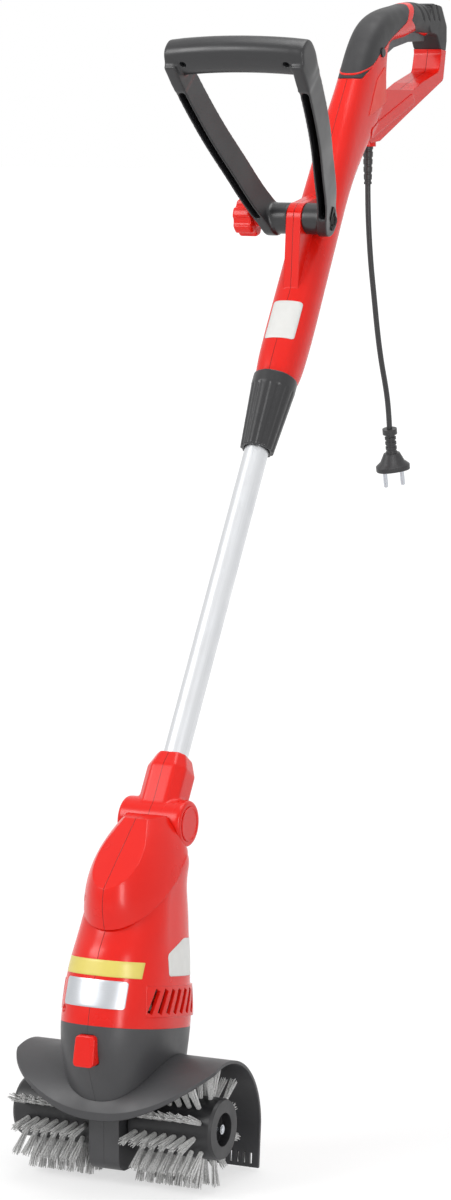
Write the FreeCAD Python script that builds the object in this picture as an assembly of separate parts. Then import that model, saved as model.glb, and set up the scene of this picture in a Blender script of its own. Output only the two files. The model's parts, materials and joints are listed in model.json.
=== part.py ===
import FreeCAD, Part
import math
import os

from FreeCAD import Placement, Rotation, Vector

# Electric patio cleaner: a motor head over two brush rollers, a sliding tube, a long handle with
# a trigger, a front loop handle and a short mains lead. Millimetres and degrees.
# X runs across the tool, -Y is the way it is pushed and Z is up. The rollers turn about Y = 0.
# The user's left hand is on the +X side, so "left" pieces lie at +X.

# Clearances and overruns
RUN_FIT = 0.05
BODY_GAP = 0.4
SEAT_GAP = 0.1
OVERRUN = 5.0
FAR = 400.0
OVAL_POINTS = 32

# Where the three main parts stand
AXLE_HEIGHT = 60.0
PIVOT_BACK = 73.5
PIVOT_HEIGHT = 339.0
TUBE_LEAN = 32.9
DRIVE_LEAN = 10.5

# Roller brushes
AXLE_RADIUS = 5.0
AXLE_HALF = 97.0
ROLLER_INNER_END = 19.0
ROLLER_OUTER_END = 107.5
DRUM_RADIUS = 30.0
DRUM_FLANGE_RADIUS = 28.5
DRUM_FLANGE_WIDTH = 3.0
DRUM_HUB_RADIUS = 10.0
DRUM_WALL = 7.0
DRUM_POCKET_DEPTH = 60.0
ROLLER_END_RECESS_RADIUS = 16.3
ROLLER_END_RECESS_DEPTH = 10.0
TUFT_COUNT_ROUND = 12
TUFT_COUNT_ALONG = 7
TUFT_FIRST = 8.5
TUFT_LAST = 12.5
TUFT_HOLE_RADIUS = 2.3
TUFT_HOLE_DEPTH = 4.0
TUFT_ROOT_RADIUS = 2.2
TUFT_TIP_RADIUS = 4.6
TUFT_REACH = 59.8
ROLLER_SCREW_HEAD_RADIUS = 4.7
ROLLER_SCREW_HEAD_HEIGHT = 2.6
ROLLER_SCREW_SHANK_RADIUS = 2.0
ROLLER_SCREW_LENGTH = 14.0

# Gearing
SPUR_MODULE = 1.0
MOTOR_PINION_TEETH = 10
DRIVE_GEAR_TEETH = 44
FACE_MODULE = 1.5
FACE_PINION_TEETH = 10
CROWN_TEETH = 30
ADDENDUM_SHARE = 0.8
DEDENDUM_SHARE = 1.2
TOOTH_WIDTH_SHARE = 0.41
CROWN_FACE = -7.5
CROWN_RIM_THICKNESS = 3.8
CROWN_RIM_OUTER = 27.5
CROWN_RIM_INNER = 14.0
CROWN_TOOTH_INNER = 19.8
CROWN_TOOTH_OUTER = 26.4
CROWN_HUB_RADIUS = 10.0
CROWN_HUB_HALF = 8.0
CROWN_WEB_FROM = -8.5
CROWN_WEB_TO = -5.0
CROWN_WEB_RADIUS = 17.0
FACE_PINION_FROM = 20.4
FACE_PINION_TO = 26.2
DRIVE_SHAFT_RADIUS = 4.0
DRIVE_SHAFT_FROM = 19.0
DRIVE_SHAFT_TO = 90.5
DRIVE_GEAR_FROM = 79.5
DRIVE_GEAR_TO = 88.5
MOTOR_PINION_FROM = 78.5
MOTOR_PINION_TO = 89.5
DRIVE_BUSH_RADIUS = 8.0
DRIVE_BUSH_FROM = 31.0
DRIVE_BUSH_TO = 39.0
DRIVE_BEARING_RADIUS = 11.0
DRIVE_BEARING_FROM = 66.0
DRIVE_BEARING_TO = 74.0

# Axle bearings and seals in the leg
AXLE_BEARING_RADIUS = 11.0
AXLE_BEARING_FROM = 8.9
AXLE_BEARING_TO = 14.0
AXLE_BOSS_RADIUS = 13.0
SEAL_RADIUS = 8.5
SEAL_TO = 16.2

# Motor, measured up the drive axis from the roller axis
MOTOR_SHAFT_RADIUS = 4.0
MOTOR_SHAFT_NOSE_RADIUS = 2.5
MOTOR_SHAFT_TOP = 203.0
MOTOR_NOSE_TOP = 95.0
BULKHEAD_LIP = 1.2
STATOR_BAND = 14.0
MOTOR_BEARING_RADIUS = 10.0
LOWER_BEARING_FROM = 97.0
LOWER_BEARING_TO = 104.0
UPPER_BEARING_FROM = 196.0
UPPER_BEARING_TO = 202.0
FAN_RADIUS = 31.0
FAN_FROM = 107.0
FAN_TO = 115.0
FAN_PLATE = 1.6
FAN_HUB_RADIUS = 8.0
FAN_BLADES = 11
FAN_BLADE_THICKNESS = 1.4
STATOR_RADIUS = 36.0
STATOR_BORE = 23.6
STATOR_FROM = 124.0
STATOR_TO = 166.0
WINDING_OUTER = 34.0
WINDING_INNER = 25.5
WINDING_LENGTH = 7.0
CORE_RADIUS = 22.8
CORE_SLOTS = 12
CORE_SLOT_HALF = 1.2
CORE_SLOT_DEPTH = 7.0
CORE_COIL_RADIUS = 17.0
CORE_COIL_LENGTH = 7.0
COMMUTATOR_RADIUS = 11.0
COMMUTATOR_FROM = 177.0
COMMUTATOR_TO = 191.0
COMMUTATOR_BARS = 24
COMMUTATOR_CUT = 0.6
CARBON_AT = 184.0
CARBON_HALF = 3.0
CARBON_TALL = 4.0
CARBON_LENGTH = 15.0
SHAFT_ROOM = 2.5

# Casing of the head: each row is height, widest place, front and back depth and half width,
# as shares of the sizes named here, then how square the front and the back are
CASING_HEIGHT = 360.0
CASING_DEPTH = 76.0
CASING_HALF_WIDTH = 53.0
CASING_WALL = 3.0
SPLIT_HEIGHT = 92.0
HOOD_CROWN_RADIUS = 160.0
CASING_shares = [
    (0.200, 0.000, 0.72, 0.78, 0.87, 2.3, 2.5),
    (0.253, 0.000, 0.79, 0.87, 0.915, 2.3, 2.6),
    (0.339, 0.000, 0.95, 0.96, 0.962, 2.3, 2.8),
    (0.417, 0.026, 1.03, 0.96, 1.000, 2.3, 2.9),
    (0.464, 0.039, 1.02, 0.95, 1.000, 2.3, 2.9),
    (0.528, 0.053, 0.95, 0.95, 0.980, 2.3, 2.8),
    (0.589, 0.066, 0.85, 0.95, 0.940, 2.3, 3.0),
    (0.639, 0.079, 0.78, 0.95, 0.880, 2.2, 3.3),
    (0.683, 0.105, 0.67, 0.94, 0.845, 2.1, 3.4),
    (0.728, 0.158, 0.58, 0.90, 0.810, 2.1, 3.4),
    (0.806, 0.329, 0.53, 0.70, 0.790, 2.1, 3.4),
    (0.890, 0.461, 0.46, 0.50, 0.690, 2.1, 3.2),
]
HOOD_shares = [
    (0.667, 0.42, 1.00, 0.61, 0.906, 1.95, 2.6),
    (0.731, 0.46, 1.02, 0.56, 0.897, 1.95, 2.6),
    (0.792, 0.50, 1.07, 0.58, 0.855, 1.95, 2.6),
    (0.833, 0.55, 1.06, 0.54, 0.815, 1.95, 2.6),
    (0.875, 0.61, 0.98, 0.47, 0.745, 1.95, 2.6),
    (0.917, 0.68, 0.80, 0.38, 0.635, 2.0, 2.6),
    (0.958, 0.76, 0.59, 0.30, 0.480, 2.0, 2.6),
    (1.000, 0.83, 0.34, 0.22, 0.260, 2.0, 2.6),
]
HOOD_TOP = 350.0
HOOD_LIP_FRONT = -42.0
HOOD_LIP_HEIGHT = 252.0
HOOD_LIP_SLOPE = 30.0
HOOD_LAP = 4.0
FACET_FRONT = -36.0
FACET_HEIGHT = 298.0
FACET_SLOPE = 40.0
VENT_BAND_FROM = 103.0
VENT_BAND_TO = 133.0
VENT_BAND_PROUD = 5.0
VENT_BAND_SIDE = 0.7
VENT_BAND_START = -62.0
VENT_COUNT = 7
VENT_PITCH = 13.5
VENT_FIRST = -53.0
VENT_WIDTH = 6.5
VENT_TALL = 25.0
VENT_LEAN = 24.0
VENT_MIDDLE = 118.0

# Leg between the rollers, and the guard over them
LEG_HALF_WIDTH = 16.3
LEG_HALF_DEPTH = 43.0
LEG_BOTTOM = 16.0
LEG_CORNER = 14.0
LEG_WALL = 2.6
GUARD_HALF_LENGTH = 108.0
GUARD_RADIUS = 77.0
GUARD_CENTRE_BACK = 5.0
GUARD_CENTRE_HEIGHT = 48.0
GUARD_WALL = 3.0
GUARD_BOTTOM = 3.0
GUARD_TUCK = 4.0
GUARD_FRONT_START = 15.0
GUARD_NOSE_LENGTH = 110.0
GUARD_NOSE_DEPTH = 65.0
GUARD_NOSE_POWER = 2.4
SLOT_WIDTH = 2.6
SLOT_TALL = 11.0
SLOT_MIDDLE = 11.5
SLOT_PITCH = 7.1
SLOT_COUNT = 29

# Strip brush behind the guard
STRIP_HALF_LENGTH = 98.0
STRIP_HOLDER_THICKNESS = 3.5
STRIP_HOLDER_FROM = 19.0
STRIP_HOLDER_TO = 45.0
STRIP_BEAD_RADIUS = 3.4
STRIP_BEAD_LOW = 23.5
STRIP_BEAD_HIGH = 37.0
STRIP_TUFTS = 44
STRIP_TUFT_RADIUS = 1.5
STRIP_TUFT_TIP = 0.6
STRIP_SCREWS = 4
STRIP_SCREW_SPREAD = 84.0
STRIP_SCREW_HEIGHT = 30.5
STRIP_SCREW_HEAD = 3.2
STRIP_SCREW_HEAD_HEIGHT = 1.8
STRIP_SCREW_SHANK = 1.5

# Latch button on the front
LATCH_TOP = 158.5
LATCH_BOTTOM = 129.0
LATCH_TOP_HALF = 8.6
LATCH_BOTTOM_HALF = 11.5
LATCH_CORNER = 4.0
LATCH_FRONT_TOP = -80.5
LATCH_FRONT_BOTTOM = -86.5
LATCH_BACK = -68.0
LATCH_FLANGE = 3.0
LATCH_FLANGE_THICKNESS = 2.5
LATCH_TRAVEL = 5.0
LATCH_RECESS_TALL = 7.0
LATCH_POST_RADIUS = 2.6
SPRING_WIRE = 0.9
LATCH_SPRING_RADIUS = 4.2
LATCH_SPRING_LENGTH = 13.0
LATCH_SPRING_TURNS = 5
LATCH_SEAT_THICKNESS = 4.0

# Tilt pivot and tube socket
BARREL_RADIUS = 23.0
BARREL_HALF_LENGTH = 34.5
BARREL_ROUND = 3.5
BARREL_CHAMBER = 19.4
CAP_RADIUS = 16.5
CAP_THICKNESS = 3.0
PIN_RADIUS = 5.0
PIN_HALF = 30.0
TONGUE_HALF = 8.0
TONGUE_EYE = 17.0
TONGUE_HALF_DEPTH = 13.0
TONGUE_LENGTH = 62.0
TILT_UP = 15.0
TILT_DOWN = 30.0
TONGUE_SLOT_HALF_ANGLE = 45.0
SOCKET_HALF_WIDTH = 21.4
SOCKET_HALF_DEPTH = 20.4
SOCKET_CORNER = 9.0
SOCKET_SHOULDER = 53.0
SOCKET_TOP = 69.0
SOCKET_TOP_HALF = 15.0
SOCKET_TOP_CORNER = 6.0
SOCKET_SCREW_AT = 40.0
SOCKET_SCREW_HEAD = 4.2
SOCKET_SCREW_HEAD_HEIGHT = 2.4
SOCKET_SCREW_SHANK = 2.2
SOCKET_SCREW_RECESS = 3.0

# Tube and its clamp
TUBE_RADIUS = 12.5
TUBE_BORE = 11.0
TUBE_BOTTOM = 25.0
TUBE_TOP = 522.0
SLEEVE_BOTTOM = 410.0
SLEEVE_TOP = 492.0
SLEEVE_BOTTOM_RADIUS = 17.6
SLEEVE_TOP_RADIUS = 23.0
SLEEVE_RIM = 12.0
SLEEVE_LIP_BORE = 13.1
SLEEVE_LIP = 14.0
SLEEVE_FLUTES = 14
SLEEVE_FLUTE_RADIUS = 3.4
SLEEVE_FLUTE_DEPTH = 1.1
COLLET_RADIUS = 15.5
COLLET_BOTTOM = 428.0
COLLET_TOP = 512.0
COLLET_FLANGE_RADIUS = 17.0
COLLET_FLANGE_FROM = 500.0
COLLET_FLANGE_TO = 505.0
COLLET_SLOTS = 4
COLLET_SLOT_WIDTH = 2.0
COLLET_SLOT_TOP = 475.0
SPIGOT_RADIUS = 19.5
SPIGOT_BOTTOM = 474.0
COLLET_SEAT_TOP = 516.0
TUBE_CHANNEL = 13.4
TUBE_TRAVEL = 150.0

# Handle housing in the tube's own frame: up the tube and away from the ground side
HANDLE_LENGTH = 1000.0
HANDLE_DEPTH = 100.0
HANDLE_HALF_WIDTH = 23.5
HANDLE_WALL = 3.0
GRIP_SKIN = 2.0
GRIP_START = 822.0
# front point along and out, back point along and out, half width, squareness
HANDLE_shares = [
    (0.492, -0.190, 0.492, 0.230, 0.915, 2.3),
    (0.530, -0.200, 0.530, 0.260, 1.000, 2.5),
    (0.600, -0.200, 0.600, 0.250, 1.000, 2.5),
    (0.660, -0.200, 0.660, 0.240, 0.980, 2.5),
    (0.716, -0.190, 0.716, 0.240, 0.940, 2.6),
    (0.756, -0.190, 0.752, 0.290, 0.895, 2.8),
    (0.800, -0.195, 0.806, 0.440, 0.850, 3.0),
    (0.845, -0.180, 0.862, 0.540, 0.810, 3.0),
    (0.882, -0.165, 0.893, 0.380, 0.780, 2.9),
    (0.916, -0.090, 0.914, 0.330, 0.750, 2.7),
    (0.948, 0.130, 0.9335, 0.493, 0.720, 2.5),
    (0.975, 0.438, 0.953, 0.725, 0.700, 2.4),
    (1.000, 0.760, 0.974, 0.985, 0.700, 2.4),
    (1.019, 1.100, 0.988, 1.170, 0.700, 2.4),
]
# Rear loop of the handle, seen from the side, in the tool's own frame: back and height
LOOP_BACK = 746.0
LOOP_TOP = 1137.0
LOOP_HALF_WIDTH = 16.3
LOOP_ROUND = 7.0
LOOP_shares = [
    (0.940, 1.0000), (0.980, 0.9970), (1.000, 0.9780), (1.000, 0.9640), (0.9865, 0.9262),
    (0.865, 0.8971), (0.757, 0.8707), (0.715, 0.8690), (0.735, 0.9120), (0.770, 0.9185),
    (0.876, 0.9175), (0.906, 0.9240), (0.970, 0.9341), (0.9795, 0.9535), (0.962, 0.9700),
    (0.935, 0.9720),
]
FRONT_SKIN_shares = [
    (0.826, -0.45), (0.846, -0.12), (0.888, 0.06), (0.909, 0.18), (0.957, 0.50), (0.990, 0.56),
    (1.080, 0.70), (1.080, -0.60), (0.880, -0.90),
]
REAR_SKIN_shares = [
    (0.966, 0.60), (0.998, 0.64), (1.090, 0.80), (1.090, 2.00), (0.9995, 1.76), (0.976, 1.28),
    (0.984, 1.12), (0.968, 0.86),
]
EAR_RADIUS = 16.5
EAR_AT = 659.5
EAR_OUT = -39.0
EAR_HALF_WIDTH = 8.2
EAR_ROOT_LOW = 570.0
EAR_ROOT_HIGH = 708.0
EAR_ROOT_OUT = -10.0
BOLT_RADIUS = 4.0

# Screws that hold the handle halves: along and out in the tube's frame
HANDLE_SCREW_HEAD_RADIUS = 3.4
HANDLE_SCREW_HEAD_HEIGHT = 2.2
HANDLE_SCREW_SHANK = 1.6
HANDLE_BOSS_RADIUS = 4.6
HANDLE_SCREW_SEAT = 11.0
HANDLE_SCREW_END = 10.0
HANDLE_SCREW_shares = [
    (0.545, 0.190), (0.640, 0.185), (0.735, 0.100), (0.792, -0.080), (0.832, 0.380),
    (0.868, -0.040), (0.9585, 0.450), (0.9180, 1.250),
]

# Trigger, switch and lock-off button: back and height in the tool's own frame
TRIGGER_HALF_WIDTH = 6.5
TRIGGER_BACK = 700.0
TRIGGER_HEIGHT = 1100.0
TRIGGER_shares = [
    (0.8450, 0.9795), (0.8890, 0.9895), (0.9440, 0.9950), (1.0070, 0.9960), (1.0100, 1.0030),
    (1.0050, 1.0090), (0.9950, 1.0095), (0.9350, 1.0080), (0.8850, 1.0020), (0.8500, 0.9940),
]
TRIGGER_PIN_AT = 700.0
TRIGGER_PIN_HEIGHT = 1104.5
TRIGGER_PIN_RADIUS = 1.5
TRIGGER_PIN_HALF = 8.2
TRIGGER_SWING = 4.5
TRIGGER_ROUND = 1.5
TRIGGER_SLOT_GAP = 0.6
TRIGGER_SWEEP_STEPS = 6
SWITCH_BACK = 592.0
SWITCH_HEIGHT = 1113.0
SWITCH_LENGTH = 26.0
SWITCH_TALL = 12.0
SWITCH_HALF_WIDTH = 8.0
SWITCH_TURN = 30.0
LOCK_BACK = 566.0
LOCK_HEIGHT = 1083.0
LOCK_RADIUS = 4.6
LOCK_FLANGE_RADIUS = 6.5
LOCK_FLANGE = 2.0
LOCK_TRAVEL = 3.0
LOCK_PROUD = 3.6
LOCK_INNER = 9.5
LOCK_SPRING_RADIUS = 3.0
LOCK_SPRING_WIRE = 0.7
LOCK_SPRING_TURNS = 4
LOCK_SPRING_LENGTH = 7.5
TRIGGER_SPRING_RADIUS = 3.0
TRIGGER_SPRING_LENGTH = 9.0
TRIGGER_SPRING_TURNS = 4
TRIGGER_SPRING_BACK = 640.0
TRIGGER_SPRING_FOOT = 1108.6

# Mains lead
CORD_RADIUS = 3.0
GLAND_BACK = 570.3
GLAND_TOP = 1003.0
GLAND_BOTTOM = 944.0
GLAND_FLANGE_RADIUS = 8.0
GLAND_FLANGE = 3.0
GLAND_NECK_RADIUS = 5.6
GLAND_TIP_RADIUS = 4.2
GLAND_BOSS_RADIUS = 8.5
GLAND_BOSS_BOTTOM = 984.0
GLAND_RIBS = 5
GLAND_RIB_CUT = 0.7
# The lead's route from the gland to the plug, back and height
CORD_POINTS = [
    (570.3, 944.0), (570.6, 924.0), (573.5, 893.0), (579.5, 857.0), (589.0, 820.0),
    (598.0, 783.0), (608.5, 751.0), (621.5, 722.0), (629.0, 697.0), (631.6, 677.0),
]
CORD_ARC_SHARE = 0.45
PLUG_TURN = -37.0
PLUG_LEAN = 13.0
PLUG_COLLAR_RADIUS = 8.0
PLUG_COLLAR_LENGTH = 6.0
PLUG_NECK_RADIUS = 4.6
PLUG_NECK_LENGTH = 22.0
PLUG_NECK_RINGS = 4
PLUG_BODY_LENGTH = 19.0
PLUG_FACE_HALF_LONG = 18.6
PLUG_FACE_HALF_SHORT = 13.0
PLUG_SHOULDER_HALF_LONG = 9.0
PLUG_SHOULDER_HALF_SHORT = 7.5
PLUG_FLANGE = 5.0
PLUG_PIN_RADIUS = 2.4
PLUG_PIN_LENGTH = 19.0
PLUG_PIN_SPACING = 19.0
PLUG_PIN_ROOT = 8.0
PLUG_PIN_ROOT_RADIUS = 1.9
PLUG_PIN_SHOULDER = 0.6

# Front loop handle, in its own frame: X across, along its arms and square to them
ARM_LEAN = 41.0
ARM_HALF_DEPTH = 16.2
ARM_OFFSET = -3.0
ARM_THICKNESS = 11.5
ARM_WALL = 2.2
ARM_WEB = 4.0
ARM_LENGTH = 222.0
ARM_REACH = 77.0
# distance up the arm and the outer face's distance from the middle
ARM_shares = [
    (-0.073, 0.455), (0.030, 0.500), (0.110, 0.575), (0.315, 0.710), (0.500, 0.825),
    (0.712, 0.920), (0.856, 0.965), (1.000, 0.985),
]
ARM_BOSS_RADIUS = 16.2
ARM_BOSS_INNER = 8.6
BAR_HALF_TALL = 18.3
BAR_HALF_DEPTH = 15.5
BAR_OFFSET = 0.5
BAR_BOW = 5.0
BAR_CORE_INSET = 4.5
BAR_SQUARE_POWER = 2.5
GRIP_END_DROP = 33.0
GRIP_SPLIT = 4.0
LOOP_SCREW_SPREAD = 57.0
LOOP_SCREW_HEAD = 3.4
LOOP_SCREW_HEAD_HEIGHT = 2.2
LOOP_SCREW_SHANK = 1.6
LOOP_SCREW_SINK = 5.0
LOOP_SCREW_LENGTH = 20.0
LOOP_SCREW_DROP = 1.0
BOLT_HEAD_RADIUS = 6.5
BOLT_HEAD_LENGTH = 5.0
KNOB_INNER = 41.5
KNOB_OUTER = 69.0
KNOB_RADIUS = 19.5
KNOB_LOBES = 6
KNOB_LOBE_CUT = 6.5
KNOB_STEM_RADIUS = 9.0
KNOB_STEM_LENGTH = 7.0
KNOB_BEVEL = 1.6

HEAD_FRAME = Placement(Vector(0, 0, AXLE_HEIGHT), Rotation(Vector(1, 0, 0), -DRIVE_LEAN))
TUBE_FRAME = Placement(Vector(0, PIVOT_BACK, PIVOT_HEIGHT), Rotation(Vector(1, 0, 0), -TUBE_LEAN))


# Small building blocks
def placed(shape, frame):
    """A copy of the shape moved from its own frame into the tool's."""
    copy = shape.copy()
    copy.transformShape(frame.toMatrix())
    return copy


def rod(radius, start, end):
    """A round bar between two points."""
    along = end - start
    return Part.makeCylinder(radius, along.Length, start, along)


def ring(outer, inner, start, end):
    """A round bar with a hole through it."""
    return rod(outer, start, end).cut(rod(inner, start, end))


def cross_bar(radius, back, height, x_from, x_to):
    """A round bar that runs across the tool."""
    return rod(radius, Vector(x_from, back, height), Vector(x_to, back, height))


def up_bar(radius, z_from, z_to, x=0.0, y=0.0):
    """A round bar that stands upright in its own frame."""
    return rod(radius, Vector(x, y, z_from), Vector(x, y, z_to))


def block(x_from, x_to, y_from, y_to, z_from, z_to):
    """A box between two corners."""
    return Part.makeBox(x_to - x_from, y_to - y_from, z_to - z_from, Vector(x_from, y_from, z_from))


def fused(shapes):
    """All the shapes as one solid."""
    whole = shapes[0]
    for shape in shapes[1:]:
        whole = whole.fuse(shape)
    return whole.removeSplitter()


def group(shapes):
    """Separate solids kept together in one node."""
    return Part.makeCompound(shapes)


def side_plate(points, half_width):
    """A flat plate whose outline is seen from the side."""
    corners = [Vector(-half_width, y, z) for y, z in points]
    face = Part.Face(Part.makePolygon(corners + corners[:1]))
    return face.extrude(Vector(2 * half_width, 0, 0))


def side_corners(points, x):
    """Corners seen from the side, as points in a plane across X."""
    return [Vector(x, y, z) for y, z in points]


def rounded_wire(corners, radius):
    """A closed flat outline whose corners are arcs."""
    count = len(corners)
    starts = []
    ends = []
    edges = []
    for i in range(count):
        corner = corners[i]
        before = (corners[i - 1] - corner).normalize()
        after = (corners[(i + 1) % count] - corner).normalize()
        turn = math.pi - before.getAngle(after)
        reach = radius * math.tan(turn / 2)
        middle = (before + after).normalize()
        centre_off = radius / math.cos(turn / 2)
        starts.append(corner + before * reach)
        ends.append(corner + after * reach)
        edges.append(Part.Arc(starts[i], corner + middle * (centre_off - radius), ends[i]).toShape())
    outline = []
    for i in range(count):
        outline.append(edges[i])
        outline.append(Part.makeLine(ends[i], starts[(i + 1) % count]))
    return Part.Wire(outline)


def oval_wire(origin, across, along, half_width, front, back, front_power, back_power):
    """A closed oval whose front and back have their own depth and squareness."""
    points = []
    for i in range(OVAL_POINTS):
        turn = 2 * math.pi * i / OVAL_POINTS
        c = math.cos(turn)
        s = math.sin(turn)
        depth = back if s > 0 else front
        power = back_power if s > 0 else front_power
        x = math.copysign(abs(c) ** (2 / power), c) * half_width
        y = math.copysign(abs(s) ** (2 / power), s) * depth
        points.append(origin + across * x + along * y)
    curve = Part.BSplineCurve()
    curve.interpolate(points, PeriodicFlag=True)
    return Part.Wire([curve.toShape()])


def arc_past(start, corner, end):
    """The arc that touches both legs of a corner, from start to end."""
    middle = (start + end) * 0.5
    chord_half = (end - start).Length / 2
    out = corner - middle
    half_turn = math.atan2(out.Length, chord_half)
    sagitta = chord_half * math.tan(half_turn / 2)
    return Part.Arc(start, middle + out.normalize() * sagitta, end).toShape()


def spring(start, direction, side, radius, wire, length, turns):
    """A coil of round wire, each half turn made of two arcs that run smoothly on."""
    up = Vector(direction).normalize()
    out = Vector(side).normalize()
    over = up.cross(out)
    steps = turns * 4
    rise = (length - 2 * wire) / steps
    slope = rise / (radius * math.pi / 2)
    print("spring of radius", radius, "turns", turns, "least gap", round(rise * 4 - wire, 3))
    spots = []
    headings = []
    for i in range(steps + 1):
        turn = i * math.pi / 2
        spots.append(start + up * (wire + rise * i)
                     + (out * math.cos(turn) + over * math.sin(turn)) * radius)
        heading = over * math.cos(turn) - out * math.sin(turn) + up * slope
        headings.append(heading.normalize())
    edges = []
    for i in range(steps):
        a = spots[i]
        b = spots[i + 1]
        sum_of = headings[i] + headings[i + 1]
        gap = b - a
        scale = 2 * (1 - headings[i].dot(headings[i + 1]))
        reach = (-gap.dot(sum_of) + math.sqrt(gap.dot(sum_of) ** 2 + scale * gap.dot(gap))) / scale
        first = a + headings[i] * reach
        second = b - headings[i + 1] * reach
        join = (first + second) * 0.5
        edges.append(arc_past(a, first, join))
        edges.append(arc_past(join, second, b))
    section = Part.Wire([Part.makeCircle(wire / 2, spots[0], headings[0])])
    return Part.Wire(edges).makePipeShell([section], True, False)


def pan_screw(head_radius, head_height, shank_radius, seat, direction, length):
    """A screw with a cross-free round head: head outside the seat, shank along the direction."""
    along = Vector(direction).normalize()
    head = rod(head_radius, seat - along * head_height, seat)
    drive = rod(head_radius / 2, seat - along * head_height, seat - along * (head_height / 2))
    return head.cut(drive).fuse(rod(shank_radius, seat, seat + along * length)).removeSplitter()


def half_of(shape, side):
    """The part of a shape on one side of the middle plane."""
    low = 0 if side > 0 else -FAR
    room = block(low, low + FAR, -FAR * 3, FAR * 3, -FAR, FAR * 4)
    return shape.common(room)


def spur_wheel(teeth, module, z_from, z_to, centre_x, centre_y, start_turn):
    """A toothed wheel with straight-flanked teeth narrowed for free running."""
    pitch = teeth * module / 2
    tip = pitch + module * ADDENDUM_SHARE
    root = pitch - module * DEDENDUM_SHARE
    step = 2 * math.pi / teeth
    points = []
    for i in range(teeth):
        middle = start_turn + i * step
        for radius, share in ((root, 0.60), (pitch, TOOTH_WIDTH_SHARE), (tip, 0.20)):
            points.append((radius, middle - step * share / 2))
        for radius, share in ((tip, 0.20), (pitch, TOOTH_WIDTH_SHARE), (root, 0.60)):
            points.append((radius, middle + step * share / 2))
    corners = [Vector(centre_x + r * math.cos(a), centre_y + r * math.sin(a), z_from)
               for r, a in points]
    return Part.Face(Part.makePolygon(corners + corners[:1])).extrude(Vector(0, 0, z_to - z_from))


# Places that follow from the sizes
SPUR_CENTRES = SPUR_MODULE * (MOTOR_PINION_TEETH + DRIVE_GEAR_TEETH) / 2
FACE_PINION_PITCH = FACE_MODULE * FACE_PINION_TEETH / 2
DRIVE_X = CROWN_FACE + FACE_PINION_PITCH
MOTOR_Y = -math.sqrt(SPUR_CENTRES ** 2 - DRIVE_X ** 2)


# Roller brushes
def tuft_spots(side):
    """Where each tuft stands on one roller: its place along the axle and its turn round it."""
    inner = ROLLER_INNER_END + TUFT_FIRST
    pitch = (ROLLER_OUTER_END - TUFT_LAST - inner) / (TUFT_COUNT_ALONG - 0.5)
    spots = []
    for row in range(TUFT_COUNT_ROUND):
        turn = 2 * math.pi * (row + 0.25) / TUFT_COUNT_ROUND
        for i in range(TUFT_COUNT_ALONG):
            x = inner + pitch * (i + 0.5 * (row % 2))
            spots.append((side * x, turn))
    return spots


def tuft_rod(x, turn, radius_from, radius_to, reach_from, reach_to):
    """A tapered bar that stands out from the axle."""
    out = Vector(0, math.cos(turn), math.sin(turn))
    base = Vector(x, 0, AXLE_HEIGHT) + out * reach_from
    if radius_from == radius_to:
        return rod(radius_from, base, base + out * (reach_to - reach_from))
    return Part.makeCone(radius_from, radius_to, reach_to - reach_from, base, out)


def roller_core(side):
    """Moulded drum of one roller, with its hub, end recess and tuft holes."""
    profile = [
        (AXLE_RADIUS, ROLLER_INNER_END), (DRUM_HUB_RADIUS, ROLLER_INNER_END),
        (DRUM_HUB_RADIUS, ROLLER_INNER_END + DRUM_POCKET_DEPTH),
        (DRUM_RADIUS - DRUM_WALL, ROLLER_INNER_END + DRUM_POCKET_DEPTH),
        (DRUM_RADIUS - DRUM_WALL, ROLLER_INNER_END), (DRUM_RADIUS, ROLLER_INNER_END),
        (DRUM_RADIUS, ROLLER_OUTER_END - DRUM_FLANGE_WIDTH),
        (DRUM_FLANGE_RADIUS, ROLLER_OUTER_END),
        (ROLLER_END_RECESS_RADIUS, ROLLER_OUTER_END),
        (ROLLER_END_RECESS_RADIUS, ROLLER_OUTER_END - ROLLER_END_RECESS_DEPTH),
        (AXLE_RADIUS, ROLLER_OUTER_END - ROLLER_END_RECESS_DEPTH),
    ]
    corners = [Vector(side * x, 0, AXLE_HEIGHT + r) for r, x in profile]
    face = Part.Face(Part.makePolygon(corners + corners[:1]))
    drum = face.revolve(Vector(0, 0, AXLE_HEIGHT), Vector(1, 0, 0), 360)
    holes = []
    for x, turn in tuft_spots(side):
        holes.append(tuft_rod(x, turn, TUFT_HOLE_RADIUS, TUFT_HOLE_RADIUS,
                              DRUM_RADIUS - TUFT_HOLE_DEPTH, DRUM_RADIUS + OVERRUN))
    return drum.cut(group(holes))


def bristle_tufts(side):
    """Every tuft of one roller: a straight root in its hole and a bundle that widens outwards."""
    tufts = []
    for x, turn in tuft_spots(side):
        root = tuft_rod(x, turn, TUFT_ROOT_RADIUS, TUFT_ROOT_RADIUS,
                        DRUM_RADIUS - TUFT_HOLE_DEPTH, DRUM_RADIUS)
        fan = tuft_rod(x, turn, TUFT_ROOT_RADIUS, TUFT_TIP_RADIUS, DRUM_RADIUS, TUFT_REACH)
        tufts.append(root.fuse(fan))
    return group(tufts)


def brush_shaft():
    """Steel axle with a tapped hole in each end."""
    shaft = cross_bar(AXLE_RADIUS, 0, AXLE_HEIGHT, -AXLE_HALF, AXLE_HALF)
    for side in (-1, 1):
        inner = AXLE_HALF - ROLLER_SCREW_LENGTH - OVERRUN
        shaft = shaft.cut(cross_bar(ROLLER_SCREW_SHANK_RADIUS, 0, AXLE_HEIGHT,
                                    side * inner, side * AXLE_HALF))
    return shaft


def roller_screws():
    """The pale screw in each roller's end recess."""
    screws = []
    for side in (-1, 1):
        screws.append(pan_screw(ROLLER_SCREW_HEAD_RADIUS, ROLLER_SCREW_HEAD_HEIGHT,
                                ROLLER_SCREW_SHANK_RADIUS, Vector(side * AXLE_HALF, 0, AXLE_HEIGHT),
                                Vector(-side, 0, 0), ROLLER_SCREW_LENGTH))
    return group(screws)


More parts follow.
